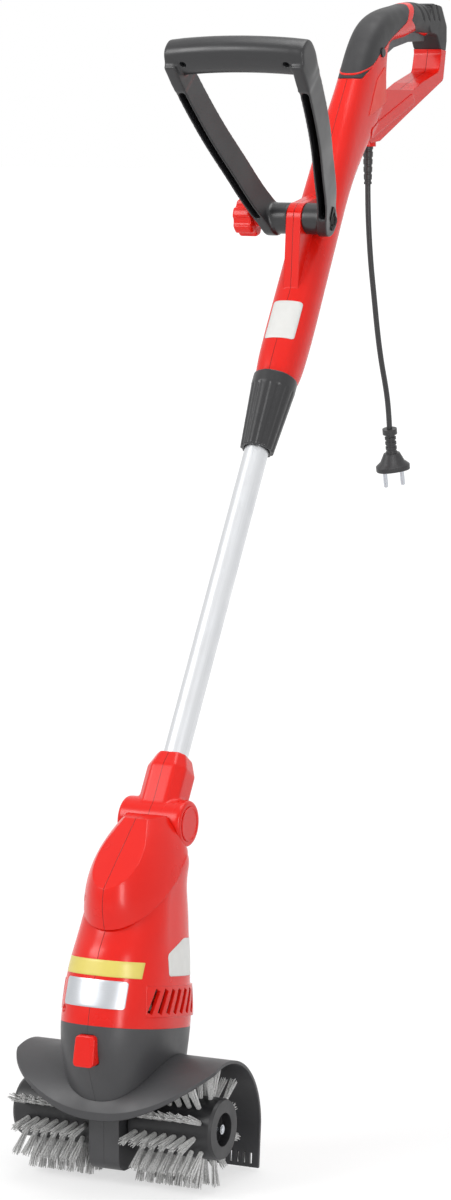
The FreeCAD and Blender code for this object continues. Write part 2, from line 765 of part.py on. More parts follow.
# Gears, shafts and bearings
def crown_gear():
    """Face gear on the axle, its teeth towards +X."""
    rim_back = CROWN_FACE - FACE_MODULE * DEDENDUM_SHARE
    rim = rim_back - CROWN_RIM_THICKNESS
    profile = [
        (AXLE_RADIUS, -CROWN_HUB_HALF), (AXLE_RADIUS, CROWN_HUB_HALF),
        (CROWN_HUB_RADIUS, CROWN_HUB_HALF), (CROWN_HUB_RADIUS, CROWN_WEB_TO),
        (CROWN_WEB_RADIUS, CROWN_WEB_TO), (CROWN_WEB_RADIUS, rim_back),
        (CROWN_RIM_OUTER, rim_back), (CROWN_RIM_OUTER, rim), (CROWN_RIM_INNER, rim),
        (CROWN_RIM_INNER, CROWN_WEB_FROM), (CROWN_HUB_RADIUS, CROWN_WEB_FROM),
        (CROWN_HUB_RADIUS, -CROWN_HUB_HALF),
    ]
    corners = [Vector(x, 0, AXLE_HEIGHT + r) for r, x in profile]
    face = Part.Face(Part.makePolygon(corners + corners[:1]))
    body = face.revolve(Vector(0, 0, AXLE_HEIGHT), Vector(1, 0, 0), 360)
    top = CROWN_FACE + FACE_MODULE * ADDENDUM_SHARE
    step = 2 * math.pi / CROWN_TEETH
    teeth = []
    for i in range(CROWN_TEETH):
        turn = (i + 0.5) * step
        sections = []
        for x, share in ((rim_back, 0.56), (CROWN_FACE, TOOTH_WIDTH_SHARE), (top, 0.26)):
            half = FACE_MODULE * math.pi * share / 2
            corners = [Vector(x, -half, CROWN_TOOTH_INNER), Vector(x, half, CROWN_TOOTH_INNER),
                       Vector(x, half, CROWN_TOOTH_OUTER), Vector(x, -half, CROWN_TOOTH_OUTER)]
            sections.append(Part.makePolygon(corners + corners[:1]))
        tooth = Part.makeLoft(sections, True, True)
        tooth.rotate(Vector(0, 0, 0), Vector(1, 0, 0), math.degrees(turn) - DRIVE_LEAN)
        tooth.translate(Vector(0, 0, AXLE_HEIGHT))
        teeth.append(tooth)
    return body.fuse(teeth).removeSplitter()


def drive_shaft():
    """Upright shaft with its face pinion cut in one piece."""
    shaft = up_bar(DRIVE_SHAFT_RADIUS, DRIVE_SHAFT_FROM, DRIVE_SHAFT_TO, DRIVE_X)
    pinion = spur_wheel(FACE_PINION_TEETH, FACE_MODULE, FACE_PINION_FROM, FACE_PINION_TO,
                        DRIVE_X, 0, math.pi)
    return placed(shaft.fuse(pinion).removeSplitter(), HEAD_FRAME)


def drive_gear():
    """Large spur gear fixed on the drive shaft."""
    toward_motor = math.atan2(MOTOR_Y, -DRIVE_X)
    wheel = spur_wheel(DRIVE_GEAR_TEETH, SPUR_MODULE, DRIVE_GEAR_FROM, DRIVE_GEAR_TO,
                       DRIVE_X, 0, toward_motor)
    return placed(wheel.cut(up_bar(DRIVE_SHAFT_RADIUS, DRIVE_GEAR_FROM, DRIVE_GEAR_TO, DRIVE_X)),
                  HEAD_FRAME)


def motor_pinion():
    """Small spur gear on the motor shaft's nose, half a tooth out of step with the large one."""
    toward_gear = math.atan2(-MOTOR_Y, DRIVE_X) + math.pi / MOTOR_PINION_TEETH
    wheel = spur_wheel(MOTOR_PINION_TEETH, SPUR_MODULE, MOTOR_PINION_FROM, MOTOR_PINION_TO,
                       0, MOTOR_Y, toward_gear)
    bore = up_bar(MOTOR_SHAFT_NOSE_RADIUS, MOTOR_PINION_FROM, MOTOR_PINION_TO, 0, MOTOR_Y)
    return placed(wheel.cut(bore), HEAD_FRAME)


def motor_ring(outer, inner, z_from, z_to):
    """A ring round the motor's axis, still in the head's own frame."""
    return ring(outer, inner, Vector(0, MOTOR_Y, z_from), Vector(0, MOTOR_Y, z_to))


def armature_shaft():
    """Motor shaft with a thinner nose for the pinion."""
    thick = up_bar(MOTOR_SHAFT_RADIUS, MOTOR_NOSE_TOP, MOTOR_SHAFT_TOP, 0, MOTOR_Y)
    nose = up_bar(MOTOR_SHAFT_NOSE_RADIUS, MOTOR_PINION_FROM, MOTOR_NOSE_TOP, 0, MOTOR_Y)
    return placed(thick.fuse(nose), HEAD_FRAME)


def armature_core():
    """Slotted steel core with its coil ends."""
    core = motor_ring(CORE_RADIUS, MOTOR_SHAFT_RADIUS, STATOR_FROM, STATOR_TO)
    slots = []
    for i in range(CORE_SLOTS):
        slot = block(CORE_RADIUS - CORE_SLOT_DEPTH, CORE_RADIUS + OVERRUN, -CORE_SLOT_HALF,
                     CORE_SLOT_HALF, STATOR_FROM - OVERRUN, STATOR_TO + OVERRUN)
        slot.rotate(Vector(0, 0, 0), Vector(0, 0, 1), 360 * i / CORE_SLOTS)
        slot.translate(Vector(0, MOTOR_Y, 0))
        slots.append(slot)
    core = core.cut(group(slots))
    low = motor_ring(CORE_COIL_RADIUS, MOTOR_SHAFT_RADIUS, STATOR_FROM - CORE_COIL_LENGTH,
                     STATOR_FROM)
    high = motor_ring(CORE_COIL_RADIUS, MOTOR_SHAFT_RADIUS, STATOR_TO,
                      STATOR_TO + CORE_COIL_LENGTH)
    return placed(fused([core, low, high]), HEAD_FRAME)


def commutator():
    """Copper drum with fine cuts between its bars."""
    drum = motor_ring(COMMUTATOR_RADIUS, MOTOR_SHAFT_RADIUS, COMMUTATOR_FROM, COMMUTATOR_TO)
    cuts = []
    for i in range(COMMUTATOR_BARS):
        cut = block(COMMUTATOR_RADIUS - COMMUTATOR_CUT * 2, COMMUTATOR_RADIUS + OVERRUN,
                    -COMMUTATOR_CUT / 2, COMMUTATOR_CUT / 2, COMMUTATOR_FROM, COMMUTATOR_TO)
        cut.rotate(Vector(0, 0, 0), Vector(0, 0, 1), 360 * i / COMMUTATOR_BARS)
        cut.translate(Vector(0, MOTOR_Y, 0))
        cuts.append(cut)
    return placed(drum.cut(group(cuts)), HEAD_FRAME)


def cooling_fan():
    """Radial fan: a plate with upright blades round a hub."""
    plate = motor_ring(FAN_RADIUS, MOTOR_SHAFT_RADIUS, FAN_FROM, FAN_FROM + FAN_PLATE)
    hub = motor_ring(FAN_HUB_RADIUS, MOTOR_SHAFT_RADIUS, FAN_FROM, FAN_TO)
    blades = []
    for i in range(FAN_BLADES):
        blade = block(FAN_HUB_RADIUS - FAN_PLATE, FAN_RADIUS - FAN_PLATE, -FAN_BLADE_THICKNESS / 2,
                      FAN_BLADE_THICKNESS / 2, FAN_FROM, FAN_TO)
        blade.rotate(Vector(0, 0, 0), Vector(0, 0, 1), 360 * i / FAN_BLADES)
        blade.translate(Vector(0, MOTOR_Y, 0))
        blades.append(blade)
    return placed(fused([plate, hub] + blades), HEAD_FRAME)


def field_windings():
    """Copper coil ends on both faces of the stator."""
    low = motor_ring(WINDING_OUTER, WINDING_INNER, STATOR_FROM - WINDING_LENGTH, STATOR_FROM)
    high = motor_ring(WINDING_OUTER, WINDING_INNER, STATOR_TO, STATOR_TO + WINDING_LENGTH)
    return placed(group([low, high]), HEAD_FRAME)


def carbon_brushes():
    """The two carbon blocks that slide in the bulkhead and touch the commutator."""
    inner = COMMUTATOR_RADIUS + BODY_GAP
    carbons = []
    for side in (-1, 1):
        ends = sorted((side * inner, side * (inner + CARBON_LENGTH)))
        carbons.append(block(ends[0], ends[1], MOTOR_Y - CARBON_HALF, MOTOR_Y + CARBON_HALF,
                             CARBON_AT - CARBON_TALL, CARBON_AT + CARBON_TALL))
    return placed(group(carbons), HEAD_FRAME)


def gear_train_bearings():
    """Bush and bearing of the drive shaft, and the bearing at each end of the motor shaft."""
    bore = DRIVE_SHAFT_RADIUS + RUN_FIT
    parts = []
    for radius, low, high in ((DRIVE_BUSH_RADIUS, DRIVE_BUSH_FROM, DRIVE_BUSH_TO),
                              (DRIVE_BEARING_RADIUS, DRIVE_BEARING_FROM, DRIVE_BEARING_TO)):
        parts.append(ring(radius, bore, Vector(DRIVE_X, 0, low), Vector(DRIVE_X, 0, high)))
    bore = MOTOR_SHAFT_RADIUS + RUN_FIT
    parts.append(motor_ring(MOTOR_BEARING_RADIUS, bore, LOWER_BEARING_FROM, LOWER_BEARING_TO))
    parts.append(motor_ring(MOTOR_BEARING_RADIUS, bore, UPPER_BEARING_FROM, UPPER_BEARING_TO))
    return placed(group(parts), HEAD_FRAME)


def axle_rings(radius, x_from, x_to):
    """A ring round the axle on each side."""
    rings = []
    for side in (-1, 1):
        rings.append(ring(radius, AXLE_RADIUS + RUN_FIT, Vector(side * x_from, 0, AXLE_HEIGHT),
                          Vector(side * x_to, 0, AXLE_HEIGHT)))
    return group(rings)


# Casing of the head
def casing_loft(rows, inset):
    """A smooth body through level ovals, drawn in by the inset."""
    wires = []
    for height, widest, front, back, width, front_power, back_power in rows:
        wires.append(oval_wire(Vector(0, widest * CASING_DEPTH, height * CASING_HEIGHT),
                               Vector(1, 0, 0), Vector(0, 1, 0),
                               width * CASING_HALF_WIDTH - inset, front * CASING_DEPTH - inset,
                               back * CASING_DEPTH - inset, front_power, back_power))
    return Part.makeLoft(wires, True, False)


def below_lip(lift):
    """Room below the slanted plane of the hood's lower lip."""
    room = block(-FAR, FAR, -FAR, FAR, -FAR, 0)
    room.rotate(Vector(0, 0, 0), Vector(1, 0, 0), HOOD_LIP_SLOPE)
    room.translate(Vector(0, HOOD_LIP_FRONT, HOOD_LIP_HEIGHT + lift))
    return room


def hood_form(inset):
    """Upper hood with its crowned front facet and slanted lower lip."""
    hood = casing_loft(HOOD_shares, inset)
    slope = math.radians(FACET_SLOPE)
    along = Vector(0, math.cos(slope), math.sin(slope))
    down = Vector(0, math.sin(slope), -math.cos(slope))
    foot = Vector(0, FACET_FRONT, FACET_HEIGHT) + down * HOOD_CROWN_RADIUS
    crown = Part.makeCylinder(HOOD_CROWN_RADIUS - inset, 2 * FAR, foot - along * FAR, along)
    return hood.cut(below_lip(inset)).common(crown)


def guard_round(radius):
    """The long cylinder that the guard follows."""
    return cross_bar(radius, GUARD_CENTRE_BACK, GUARD_CENTRE_HEIGHT, -FAR, FAR)


def above_split():
    """Room above the plane where the red and the dark casing meet."""
    return placed(block(-FAR, FAR, -FAR, FAR, SPLIT_HEIGHT, FAR), HEAD_FRAME)


def head_room(inset):
    """Space that the whole casing takes, drawn in by the inset."""
    casing = casing_loft(CASING_shares, inset).common(below_lip(inset + HOOD_LAP))
    form = casing.fuse(hood_form(inset))
    form = form.cut(guard_round(GUARD_RADIUS + SEAT_GAP + inset))
    trough = BARREL_RADIUS + BODY_GAP + inset
    form = form.cut(cross_bar(trough, PIVOT_BACK, PIVOT_HEIGHT, -FAR, FAR))
    behind = block(-FAR, FAR, PIVOT_BACK - trough, FAR, PIVOT_HEIGHT - inset, FAR * 2)
    over = block(-FAR, FAR, -FAR, FAR, HOOD_TOP - inset, FAR * 2)
    return form.cut(behind).cut(over)


def vent_band():
    """Slightly raised band round the back of the casing that carries the vents."""
    rows = []
    for height, widest, front, back, width, front_power, back_power in CASING_shares:
        rows.append((height, widest, front, back + VENT_BAND_PROUD / CASING_DEPTH,
                     width + VENT_BAND_SIDE / CASING_HALF_WIDTH, front_power, back_power))
    room = block(-FAR, FAR, VENT_BAND_START, FAR, VENT_BAND_FROM, VENT_BAND_TO)
    return casing_loft(rows, 0).common(placed(room, HEAD_FRAME))


def vent_cuts():
    """Slanted slots through both sides of the band."""
    cuts = []
    for i in range(VENT_COUNT):
        slot = block(-FAR, FAR, -VENT_WIDTH / 2, VENT_WIDTH / 2, -VENT_TALL / 2, VENT_TALL / 2)
        slot.rotate(Vector(0, 0, 0), Vector(1, 0, 0), -VENT_LEAN)
        slot.translate(Vector(0, VENT_FIRST + VENT_PITCH * i, VENT_MIDDLE))
        cuts.append(slot)
    keep = block(-CASING_HALF_WIDTH / 2, CASING_HALF_WIDTH / 2, -FAR, FAR, 0, FAR)
    return placed(group([cut.cut(keep) for cut in cuts]), HEAD_FRAME)


def slab(low, high):
    """Everything between two heights up the motor's axis."""
    return placed(block(-FAR, FAR, -FAR, FAR, low, high), HEAD_FRAME)


def tongue():
    """Plate that reaches from the hood into the pivot barrel and turns on its pin."""
    eye = up_side_disc(TONGUE_EYE, TONGUE_HALF)
    blade = block(-TONGUE_HALF, TONGUE_HALF, -TONGUE_HALF_DEPTH, TONGUE_HALF_DEPTH,
                  -TONGUE_LENGTH, 0)
    return placed(fused([eye, blade]), TUBE_FRAME)


def up_side_disc(radius, half_width):
    """A disc across the pivot's axis, in the tube's own frame."""
    return rod(radius, Vector(-half_width, 0, 0), Vector(half_width, 0, 0))


HEAD_SCREW_RADIUS = 2.0
HEAD_SCREW_HEAD = 3.8
HEAD_SCREW_HEAD_HEIGHT = 2.6
HEAD_BOSS_RADIUS = 5.4
HEAD_SCREW_SEAT = 18.0
HEAD_SCREW_END = 16.0
LEG_SCREW_SEAT = 11.0
LEG_SCREW_END = 10.0
# back and height of each screw, as shares of the casing's depth and height
MOTOR_SCREW_shares = [(-0.76, 0.492), (0.74, 0.492), (-0.30, 0.775), (0.78, 0.775)]
GEARBOX_SCREW_shares = [(-0.62, 0.372), (0.78, 0.372)]
LEG_SCREW_shares = [(-0.44, 0.093), (0.44, 0.093)]


def head_screw_places(shares):
    """Screw places in the tool's own frame."""
    return [(back * CASING_DEPTH, height * CASING_HEIGHT) for back, height in shares]


def screw_holes(places, seat, end, shank, head):
    """Pilot holes and counterbores, the heads on the -X side."""
    cuts = []
    for back, height in places:
        cuts.append(cross_bar(shank, back, height, -seat - OVERRUN, end + shank))
        cuts.append(cross_bar(head + SEAT_GAP, back, height, -FAR, -seat))
    return group(cuts)


def cross_screws(places, seat, end, shank, head, head_height):
    """Screws that run across the tool from the -X side."""
    return [pan_screw(head, head_height, shank, Vector(-seat, back, height), Vector(1, 0, 0),
                      seat + end) for back, height in places]


def motor_hollow(room_inner):
    """Space inside the red casing: cells between its bulkheads, clear of the screw bosses."""
    hollow = room_inner.common(above_split())
    band_middle = (STATOR_FROM + STATOR_TO) / 2
    for low, high in ((SPLIT_HEIGHT, LOWER_BEARING_TO + BULKHEAD_LIP),
                      (band_middle - STATOR_BAND / 2, band_middle + STATOR_BAND / 2),
                      (COMMUTATOR_FROM, COMMUTATOR_TO),
                      (UPPER_BEARING_FROM - BULKHEAD_LIP, MOTOR_SHAFT_TOP + BULKHEAD_LIP)):
        hollow = hollow.cut(slab(low, high))
    for back, height in head_screw_places(MOTOR_SCREW_shares):
        hollow = hollow.cut(cross_bar(HEAD_BOSS_RADIUS, back, height, -FAR, FAR))
    return hollow


def motor_seats():
    """Round holes through the bulkheads for bearings, shaft, stator and carbon holders."""
    reach = COMMUTATOR_RADIUS + BODY_GAP + CARBON_LENGTH
    shaft_room = MOTOR_SHAFT_RADIUS + SHAFT_ROOM
    seats = [
        up_bar(shaft_room, 0, MOTOR_SHAFT_TOP + SEAT_GAP, 0, MOTOR_Y),
        up_bar(MOTOR_BEARING_RADIUS, LOWER_BEARING_FROM, LOWER_BEARING_TO, 0, MOTOR_Y),
        up_bar(MOTOR_BEARING_RADIUS, UPPER_BEARING_FROM, UPPER_BEARING_TO, 0, MOTOR_Y),
        up_bar(STATOR_RADIUS, STATOR_FROM, STATOR_TO, 0, MOTOR_Y),
        up_bar(COMMUTATOR_RADIUS + SHAFT_ROOM, STATOR_TO, COMMUTATOR_TO + SEAT_GAP, 0, MOTOR_Y),
        block(-reach, reach, MOTOR_Y - CARBON_HALF, MOTOR_Y + CARBON_HALF,
              CARBON_AT - CARBON_TALL, CARBON_AT + CARBON_TALL),
    ]
    return [placed(seat, HEAD_FRAME) for seat in seats]


def motor_housing(room_outer, room_inner):
    """Red clamshell: hood, vents, bulkheads, screw bosses and the pivot tongue."""
    body = room_outer.fuse(vent_band()).common(above_split())
    body = body.cut(motor_hollow(room_inner))
    body = body.fuse(tongue())
    for seat in motor_seats():
        body = body.cut(seat)
    eye = placed(up_side_disc(PIN_RADIUS + RUN_FIT, TONGUE_HALF + OVERRUN), TUBE_FRAME)
    places = head_screw_places(MOTOR_SCREW_shares)
    holes = screw_holes(places, HEAD_SCREW_SEAT, HEAD_SCREW_END, HEAD_SCREW_RADIUS,
                        HEAD_SCREW_HEAD)
    return body.cut(eye).cut(holes).cut(vent_cuts())


def leg_form(inset):
    """Leg between the rollers, seen from the side as a plate with round lower corners."""
    half = LEG_HALF_WIDTH - inset
    depth = LEG_HALF_DEPTH - inset
    points = [(-depth, LEG_BOTTOM + inset), (depth, LEG_BOTTOM + inset),
              (depth, GUARD_CENTRE_HEIGHT + GUARD_RADIUS), (-depth, GUARD_CENTRE_HEIGHT + GUARD_RADIUS)]
    outline = rounded_wire(side_corners(points, -half), LEG_CORNER - inset)
    return Part.Face(outline).extrude(Vector(2 * half, 0, 0))


def latch_outline(grow):
    """Button outline seen from the front: across and height, wider below."""
    return [(-LATCH_TOP_HALF - grow, LATCH_TOP + grow), (LATCH_TOP_HALF + grow, LATCH_TOP + grow),
            (LATCH_BOTTOM_HALF + grow, LATCH_BOTTOM - grow),
            (-LATCH_BOTTOM_HALF - grow, LATCH_BOTTOM - grow)]


def latch_prism(grow, y_from, y_to):
    """The button's outline carried straight back."""
    corners = [Vector(x, y_from, z) for x, z in latch_outline(grow)]
    outline = rounded_wire(corners, LATCH_CORNER + grow)
    return Part.Face(outline).extrude(Vector(0, y_to - y_from, 0))


def latch_button():
    """Red front button: wedge-shaped face, flange behind the wall and a post for its spring."""
    body = latch_prism(0, LATCH_FRONT_BOTTOM, LATCH_BACK)
    tall = LATCH_TOP - LATCH_BOTTOM
    slope = math.degrees(math.atan2(LATCH_FRONT_TOP - LATCH_FRONT_BOTTOM, tall))
    off = block(-FAR, FAR, -FAR, 0, -FAR, FAR)
    off.rotate(Vector(0, 0, 0), Vector(1, 0, 0), -slope)
    off.translate(Vector(0, LATCH_FRONT_BOTTOM, LATCH_BOTTOM))
    flange = latch_prism(LATCH_FLANGE, LATCH_BACK, LATCH_BACK + LATCH_FLANGE_THICKNESS)
    middle = (LATCH_TOP + LATCH_BOTTOM) / 2
    post = rod(LATCH_POST_RADIUS, Vector(0, LATCH_BACK, middle),
               Vector(0, LATCH_BACK + LATCH_FLANGE_THICKNESS + LATCH_TRAVEL, middle))
    return fused([body.cut(off), flange, post])


def latch_spring():
    """Coil between the button's flange and the seat behind it."""
    middle = (LATCH_TOP + LATCH_BOTTOM) / 2
    start = Vector(0, LATCH_BACK + LATCH_FLANGE_THICKNESS, middle)
    return spring(start, Vector(0, 1, 0), Vector(1, 0, 0), LATCH_SPRING_RADIUS, SPRING_WIRE,
                  LATCH_SPRING_LENGTH, LATCH_SPRING_TURNS)


def latch_seat():
    """Where the latch spring's far end rests."""
    return LATCH_BACK + LATCH_FLANGE_THICKNESS + LATCH_SPRING_LENGTH


def gearbox_seats():
    """Bores for the drive shaft's and the axle's bearings, and the latch's opening."""
    shaft_room = DRIVE_SHAFT_RADIUS + SHAFT_ROOM
    seats = [
        placed(up_bar(shaft_room, 0, SPLIT_HEIGHT, DRIVE_X), HEAD_FRAME),
        placed(up_bar(DRIVE_BEARING_RADIUS, DRIVE_BEARING_FROM, DRIVE_BEARING_TO, DRIVE_X), HEAD_FRAME),
        placed(up_bar(DRIVE_BUSH_RADIUS, DRIVE_BUSH_FROM, DRIVE_BUSH_TO, DRIVE_X), HEAD_FRAME),
        cross_bar(AXLE_RADIUS + BODY_GAP, 0, AXLE_HEIGHT, -FAR, FAR),
        latch_prism(BODY_GAP, -FAR, LATCH_BACK - BODY_GAP),
        latch_prism(LATCH_FLANGE + BODY_GAP, LATCH_BACK - BODY_GAP, latch_seat()),
        block(-LATCH_TOP_HALF, LATCH_TOP_HALF, LATCH_FRONT_BOTTOM, LATCH_FRONT_TOP + LATCH_TRAVEL,
              LATCH_BOTTOM - LATCH_RECESS_TALL, LATCH_BOTTOM),
    ]
    for side in (-1, 1):
        seats.append(cross_bar(AXLE_BEARING_RADIUS, 0, AXLE_HEIGHT, side * AXLE_BEARING_FROM,
                               side * AXLE_BEARING_TO))
        seats.append(cross_bar(SEAL_RADIUS, 0, AXLE_HEIGHT, side * AXLE_BEARING_TO, side * FAR))
    return seats


def gearbox_housing(room_outer, room_inner):
    """Dark lower casing with the leg, the bearing seats and the latch's opening."""
    seat = guard_round(GUARD_RADIUS + SEAT_GAP)
    neck = leg_form(0).common(seat)
    body = room_outer.cut(above_split()).fuse(neck)
    gear_places = head_screw_places(GEARBOX_SCREW_shares)
    leg_places = head_screw_places(LEG_SCREW_shares)
    keep = [cross_bar(HEAD_BOSS_RADIUS, back, height, -FAR, FAR)
            for back, height in gear_places + leg_places]
    keep.append(slab(DRIVE_BEARING_FROM - BULKHEAD_LIP, DRIVE_BEARING_TO + BULKHEAD_LIP))
    keep.append(slab(DRIVE_BUSH_FROM - BULKHEAD_LIP, DRIVE_BUSH_TO + BULKHEAD_LIP))
    for side in (-1, 1):
        keep.append(cross_bar(AXLE_BOSS_RADIUS, 0, AXLE_HEIGHT, side * AXLE_BEARING_FROM, side * FAR))
    middle = (LATCH_TOP + LATCH_BOTTOM) / 2
    keep.append(block(-FAR, FAR, latch_seat(), latch_seat() + LATCH_SEAT_THICKNESS,
                      middle - LATCH_SPRING_RADIUS * 2, middle + LATCH_SPRING_RADIUS * 2))
    top_hollow = room_inner.cut(above_split())
    leg_hollow = leg_form(LEG_WALL).common(guard_round(GUARD_RADIUS + CASING_WALL + OVERRUN))
    for part in keep:
        top_hollow = top_hollow.cut(part)
        leg_hollow = leg_hollow.cut(part)
    body = body.cut(top_hollow).cut(leg_hollow)
    for bore in gearbox_seats():
        body = body.cut(bore)
    body = body.cut(screw_holes(gear_places, HEAD_SCREW_SEAT, HEAD_SCREW_END, HEAD_SCREW_RADIUS,
                                HEAD_SCREW_HEAD))
    return body.cut(screw_holes(leg_places, LEG_SCREW_SEAT, LEG_SCREW_END, HEAD_SCREW_RADIUS,
                                HEAD_SCREW_HEAD))


def housing_screws():
    """All screws of the head's clamshells."""
    wide = head_screw_places(MOTOR_SCREW_shares) + head_screw_places(GEARBOX_SCREW_shares)
    screws = cross_screws(wide, HEAD_SCREW_SEAT, HEAD_SCREW_END, HEAD_SCREW_RADIUS,
                          HEAD_SCREW_HEAD, HEAD_SCREW_HEAD_HEIGHT)
    screws += cross_screws(head_screw_places(LEG_SCREW_shares), LEG_SCREW_SEAT, LEG_SCREW_END,
                           HEAD_SCREW_RADIUS, HEAD_SCREW_HEAD, HEAD_SCREW_HEAD_HEIGHT)
    return group(screws)


# Guard and strip brush
def guard_shell():
    """Bent sheet: from the nose over the rollers and down behind them."""
    start = math.radians(GUARD_FRONT_START)
    edges = []
    for radius in (GUARD_RADIUS, GUARD_RADIUS - GUARD_WALL):
        nose = Vector(-GUARD_HALF_LENGTH, GUARD_CENTRE_BACK - radius * math.cos(start),
                      GUARD_CENTRE_HEIGHT + radius * math.sin(start))
        crest = Vector(-GUARD_HALF_LENGTH, GUARD_CENTRE_BACK, GUARD_CENTRE_HEIGHT + radius)
        back = Vector(-GUARD_HALF_LENGTH, GUARD_CENTRE_BACK + radius, GUARD_CENTRE_HEIGHT)
        foot = Vector(-GUARD_HALF_LENGTH, GUARD_CENTRE_BACK + radius - GUARD_TUCK, GUARD_BOTTOM)
        edges.append((Part.Arc(nose, crest, back).toShape(), Part.makeLine(back, foot), nose, foot))
    outline = [edges[0][0], edges[0][1], Part.makeLine(edges[0][3], edges[1][3]), edges[1][1],
               edges[1][0], Part.makeLine(edges[1][2], edges[0][2])]
    wire = Part.Wire(Part.__sortEdges__(outline))
    return Part.Face(wire).extrude(Vector(2 * GUARD_HALF_LENGTH, 0, 0))


def splash_guard(room_outer):
    """Guard trimmed to its curved nose, with a slot for the leg and drain slots behind."""
    shell = guard_shell()
    nose = oval_wire(Vector(0, 0, 0), Vector(1, 0, 0), Vector(0, 1, 0), GUARD_NOSE_LENGTH,
                     GUARD_NOSE_DEPTH, GUARD_NOSE_DEPTH, GUARD_NOSE_POWER, GUARD_NOSE_POWER)
    keep = Part.Face(nose).extrude(Vector(0, 0, FAR))
    keep = keep.fuse(block(-FAR, FAR, 0, FAR, 0, FAR))
    shell = shell.common(keep)
    leg_gap = leg_form(-SEAT_GAP)
    slots = []
    for i in range(SLOT_COUNT):
        x = (i - (SLOT_COUNT - 1) / 2) * SLOT_PITCH
        slots.append(block(x - SLOT_WIDTH / 2, x + SLOT_WIDTH / 2, GUARD_CENTRE_BACK + DRUM_RADIUS,
                           FAR, SLOT_MIDDLE - SLOT_TALL / 2, SLOT_MIDDLE + SLOT_TALL / 2))
    return shell.cut(leg_gap).cut(group(slots)).cut(strip_holes())


def strip_face():
    """Back face of the guard's rear wall at the strip brush's middle."""
    drop = (GUARD_CENTRE_HEIGHT - STRIP_SCREW_HEIGHT) / (GUARD_CENTRE_HEIGHT - GUARD_BOTTOM)
    return GUARD_CENTRE_BACK + GUARD_RADIUS - GUARD_TUCK * drop


def strip_frame():
    """Frame of the rear wall: its back face is level with Y = 0 there."""
    lean = math.degrees(math.atan2(GUARD_TUCK, GUARD_CENTRE_HEIGHT - GUARD_BOTTOM))
    return Placement(Vector(0, strip_face(), STRIP_SCREW_HEIGHT), Rotation(Vector(1, 0, 0), -lean))


def strip_screw_spots():
    """Places of the strip brush's screws along it."""
    step = 2 * STRIP_SCREW_SPREAD / (STRIP_SCREWS - 1)
    return [-STRIP_SCREW_SPREAD + step * i for i in range(STRIP_SCREWS)]


def strip_holes():
    """Screw holes through the guard's rear wall."""
    holes = [rod(STRIP_SCREW_SHANK, Vector(x, -GUARD_WALL * 2, 0), Vector(x, GUARD_WALL, 0))
             for x in strip_screw_spots()]
    return placed(group(holes), strip_frame())


def strip_brush_holder():
    """Plate with two long beads that carries the strip of bristles."""
    low = STRIP_HOLDER_FROM - STRIP_SCREW_HEIGHT
    high = STRIP_HOLDER_TO - STRIP_SCREW_HEIGHT
    plate = block(-STRIP_HALF_LENGTH, STRIP_HALF_LENGTH, 0, STRIP_HOLDER_THICKNESS, low, high)
    beads = []
    for height in (STRIP_BEAD_LOW, STRIP_BEAD_HIGH):
        z = height - STRIP_SCREW_HEIGHT
        bead = rod(STRIP_BEAD_RADIUS, Vector(-STRIP_HALF_LENGTH, STRIP_HOLDER_THICKNESS, z),
                   Vector(STRIP_HALF_LENGTH, STRIP_HOLDER_THICKNESS, z))
        beads.append(bead.common(block(-FAR, FAR, 0, FAR, -FAR, FAR)))
    body = fused([plate] + beads)
    holes = [rod(STRIP_SCREW_SHANK, Vector(x, -OVERRUN, 0), Vector(x, OVERRUN * 2, 0))
             for x in strip_screw_spots()]
    groove = []
    for x in strip_tuft_spots():
        groove.append(rod(STRIP_TUFT_RADIUS + SEAT_GAP, Vector(x, STRIP_HOLDER_THICKNESS, low - OVERRUN),
                          Vector(x, STRIP_HOLDER_THICKNESS, low + STRIP_BEAD_RADIUS)))
    return placed(body.cut(group(holes)).cut(group(groove)), strip_frame())


def strip_tuft_spots():
    """Places of the small tufts along the strip."""
    step = 2 * (STRIP_HALF_LENGTH - STRIP_TUFT_RADIUS * 2) / (STRIP_TUFTS - 1)
    return [-STRIP_HALF_LENGTH + STRIP_TUFT_RADIUS * 2 + step * i for i in range(STRIP_TUFTS)]


def strip_bristles():
    """Row of short tufts that brush the ground behind the rollers."""
    low = STRIP_HOLDER_FROM - STRIP_SCREW_HEIGHT
    tufts = []
    for x in strip_tuft_spots():
        tufts.append(rod(STRIP_TUFT_RADIUS, Vector(x, STRIP_HOLDER_THICKNESS, STRIP_TUFT_TIP - STRIP_SCREW_HEIGHT),
                         Vector(x, STRIP_HOLDER_THICKNESS, low + STRIP_BEAD_RADIUS)))
    return placed(group(tufts), strip_frame())


def strip_screws():
    """Screws from behind into the guard's rear wall."""
    screws = [pan_screw(STRIP_SCREW_HEAD, STRIP_SCREW_HEAD_HEIGHT, STRIP_SCREW_SHANK,
                        Vector(x, STRIP_HOLDER_THICKNESS, 0), Vector(0, -1, 0),
                        STRIP_HOLDER_THICKNESS + GUARD_WALL) for x in strip_screw_spots()]
    return placed(group(screws), strip_frame())


# Tube socket, pivot and tube, all in the tube's own frame until placed
def octagon(half_x, half_y, corner, z):
    """A closed eight-sided outline, level in the tube's frame."""
    points = [(half_x - corner, -half_y), (half_x, -half_y + corner), (half_x, half_y - corner),
              (half_x - corner, half_y), (-half_x + corner, half_y), (-half_x, half_y - corner),
              (-half_x, -half_y + corner), (-half_x + corner, -half_y)]
    corners = [Vector(x, y, z) for x, y in points]
    return Part.makePolygon(corners + corners[:1])


def sector(first, last, radius, half_width):
    """A pie-shaped plate between two angles, counted from +Y towards +Z."""
    points = [(0, 0)]
    steps = 8
    for i in range(steps + 1):
        turn = math.radians(first + (last - first) * i / steps)
        points.append((radius * math.cos(turn), radius * math.sin(turn)))
    return side_plate(points, half_width)


def barrel_end(side):
    """Where each barrel end's cap lies."""
    return side * (BARREL_HALF_LENGTH - CAP_THICKNESS)


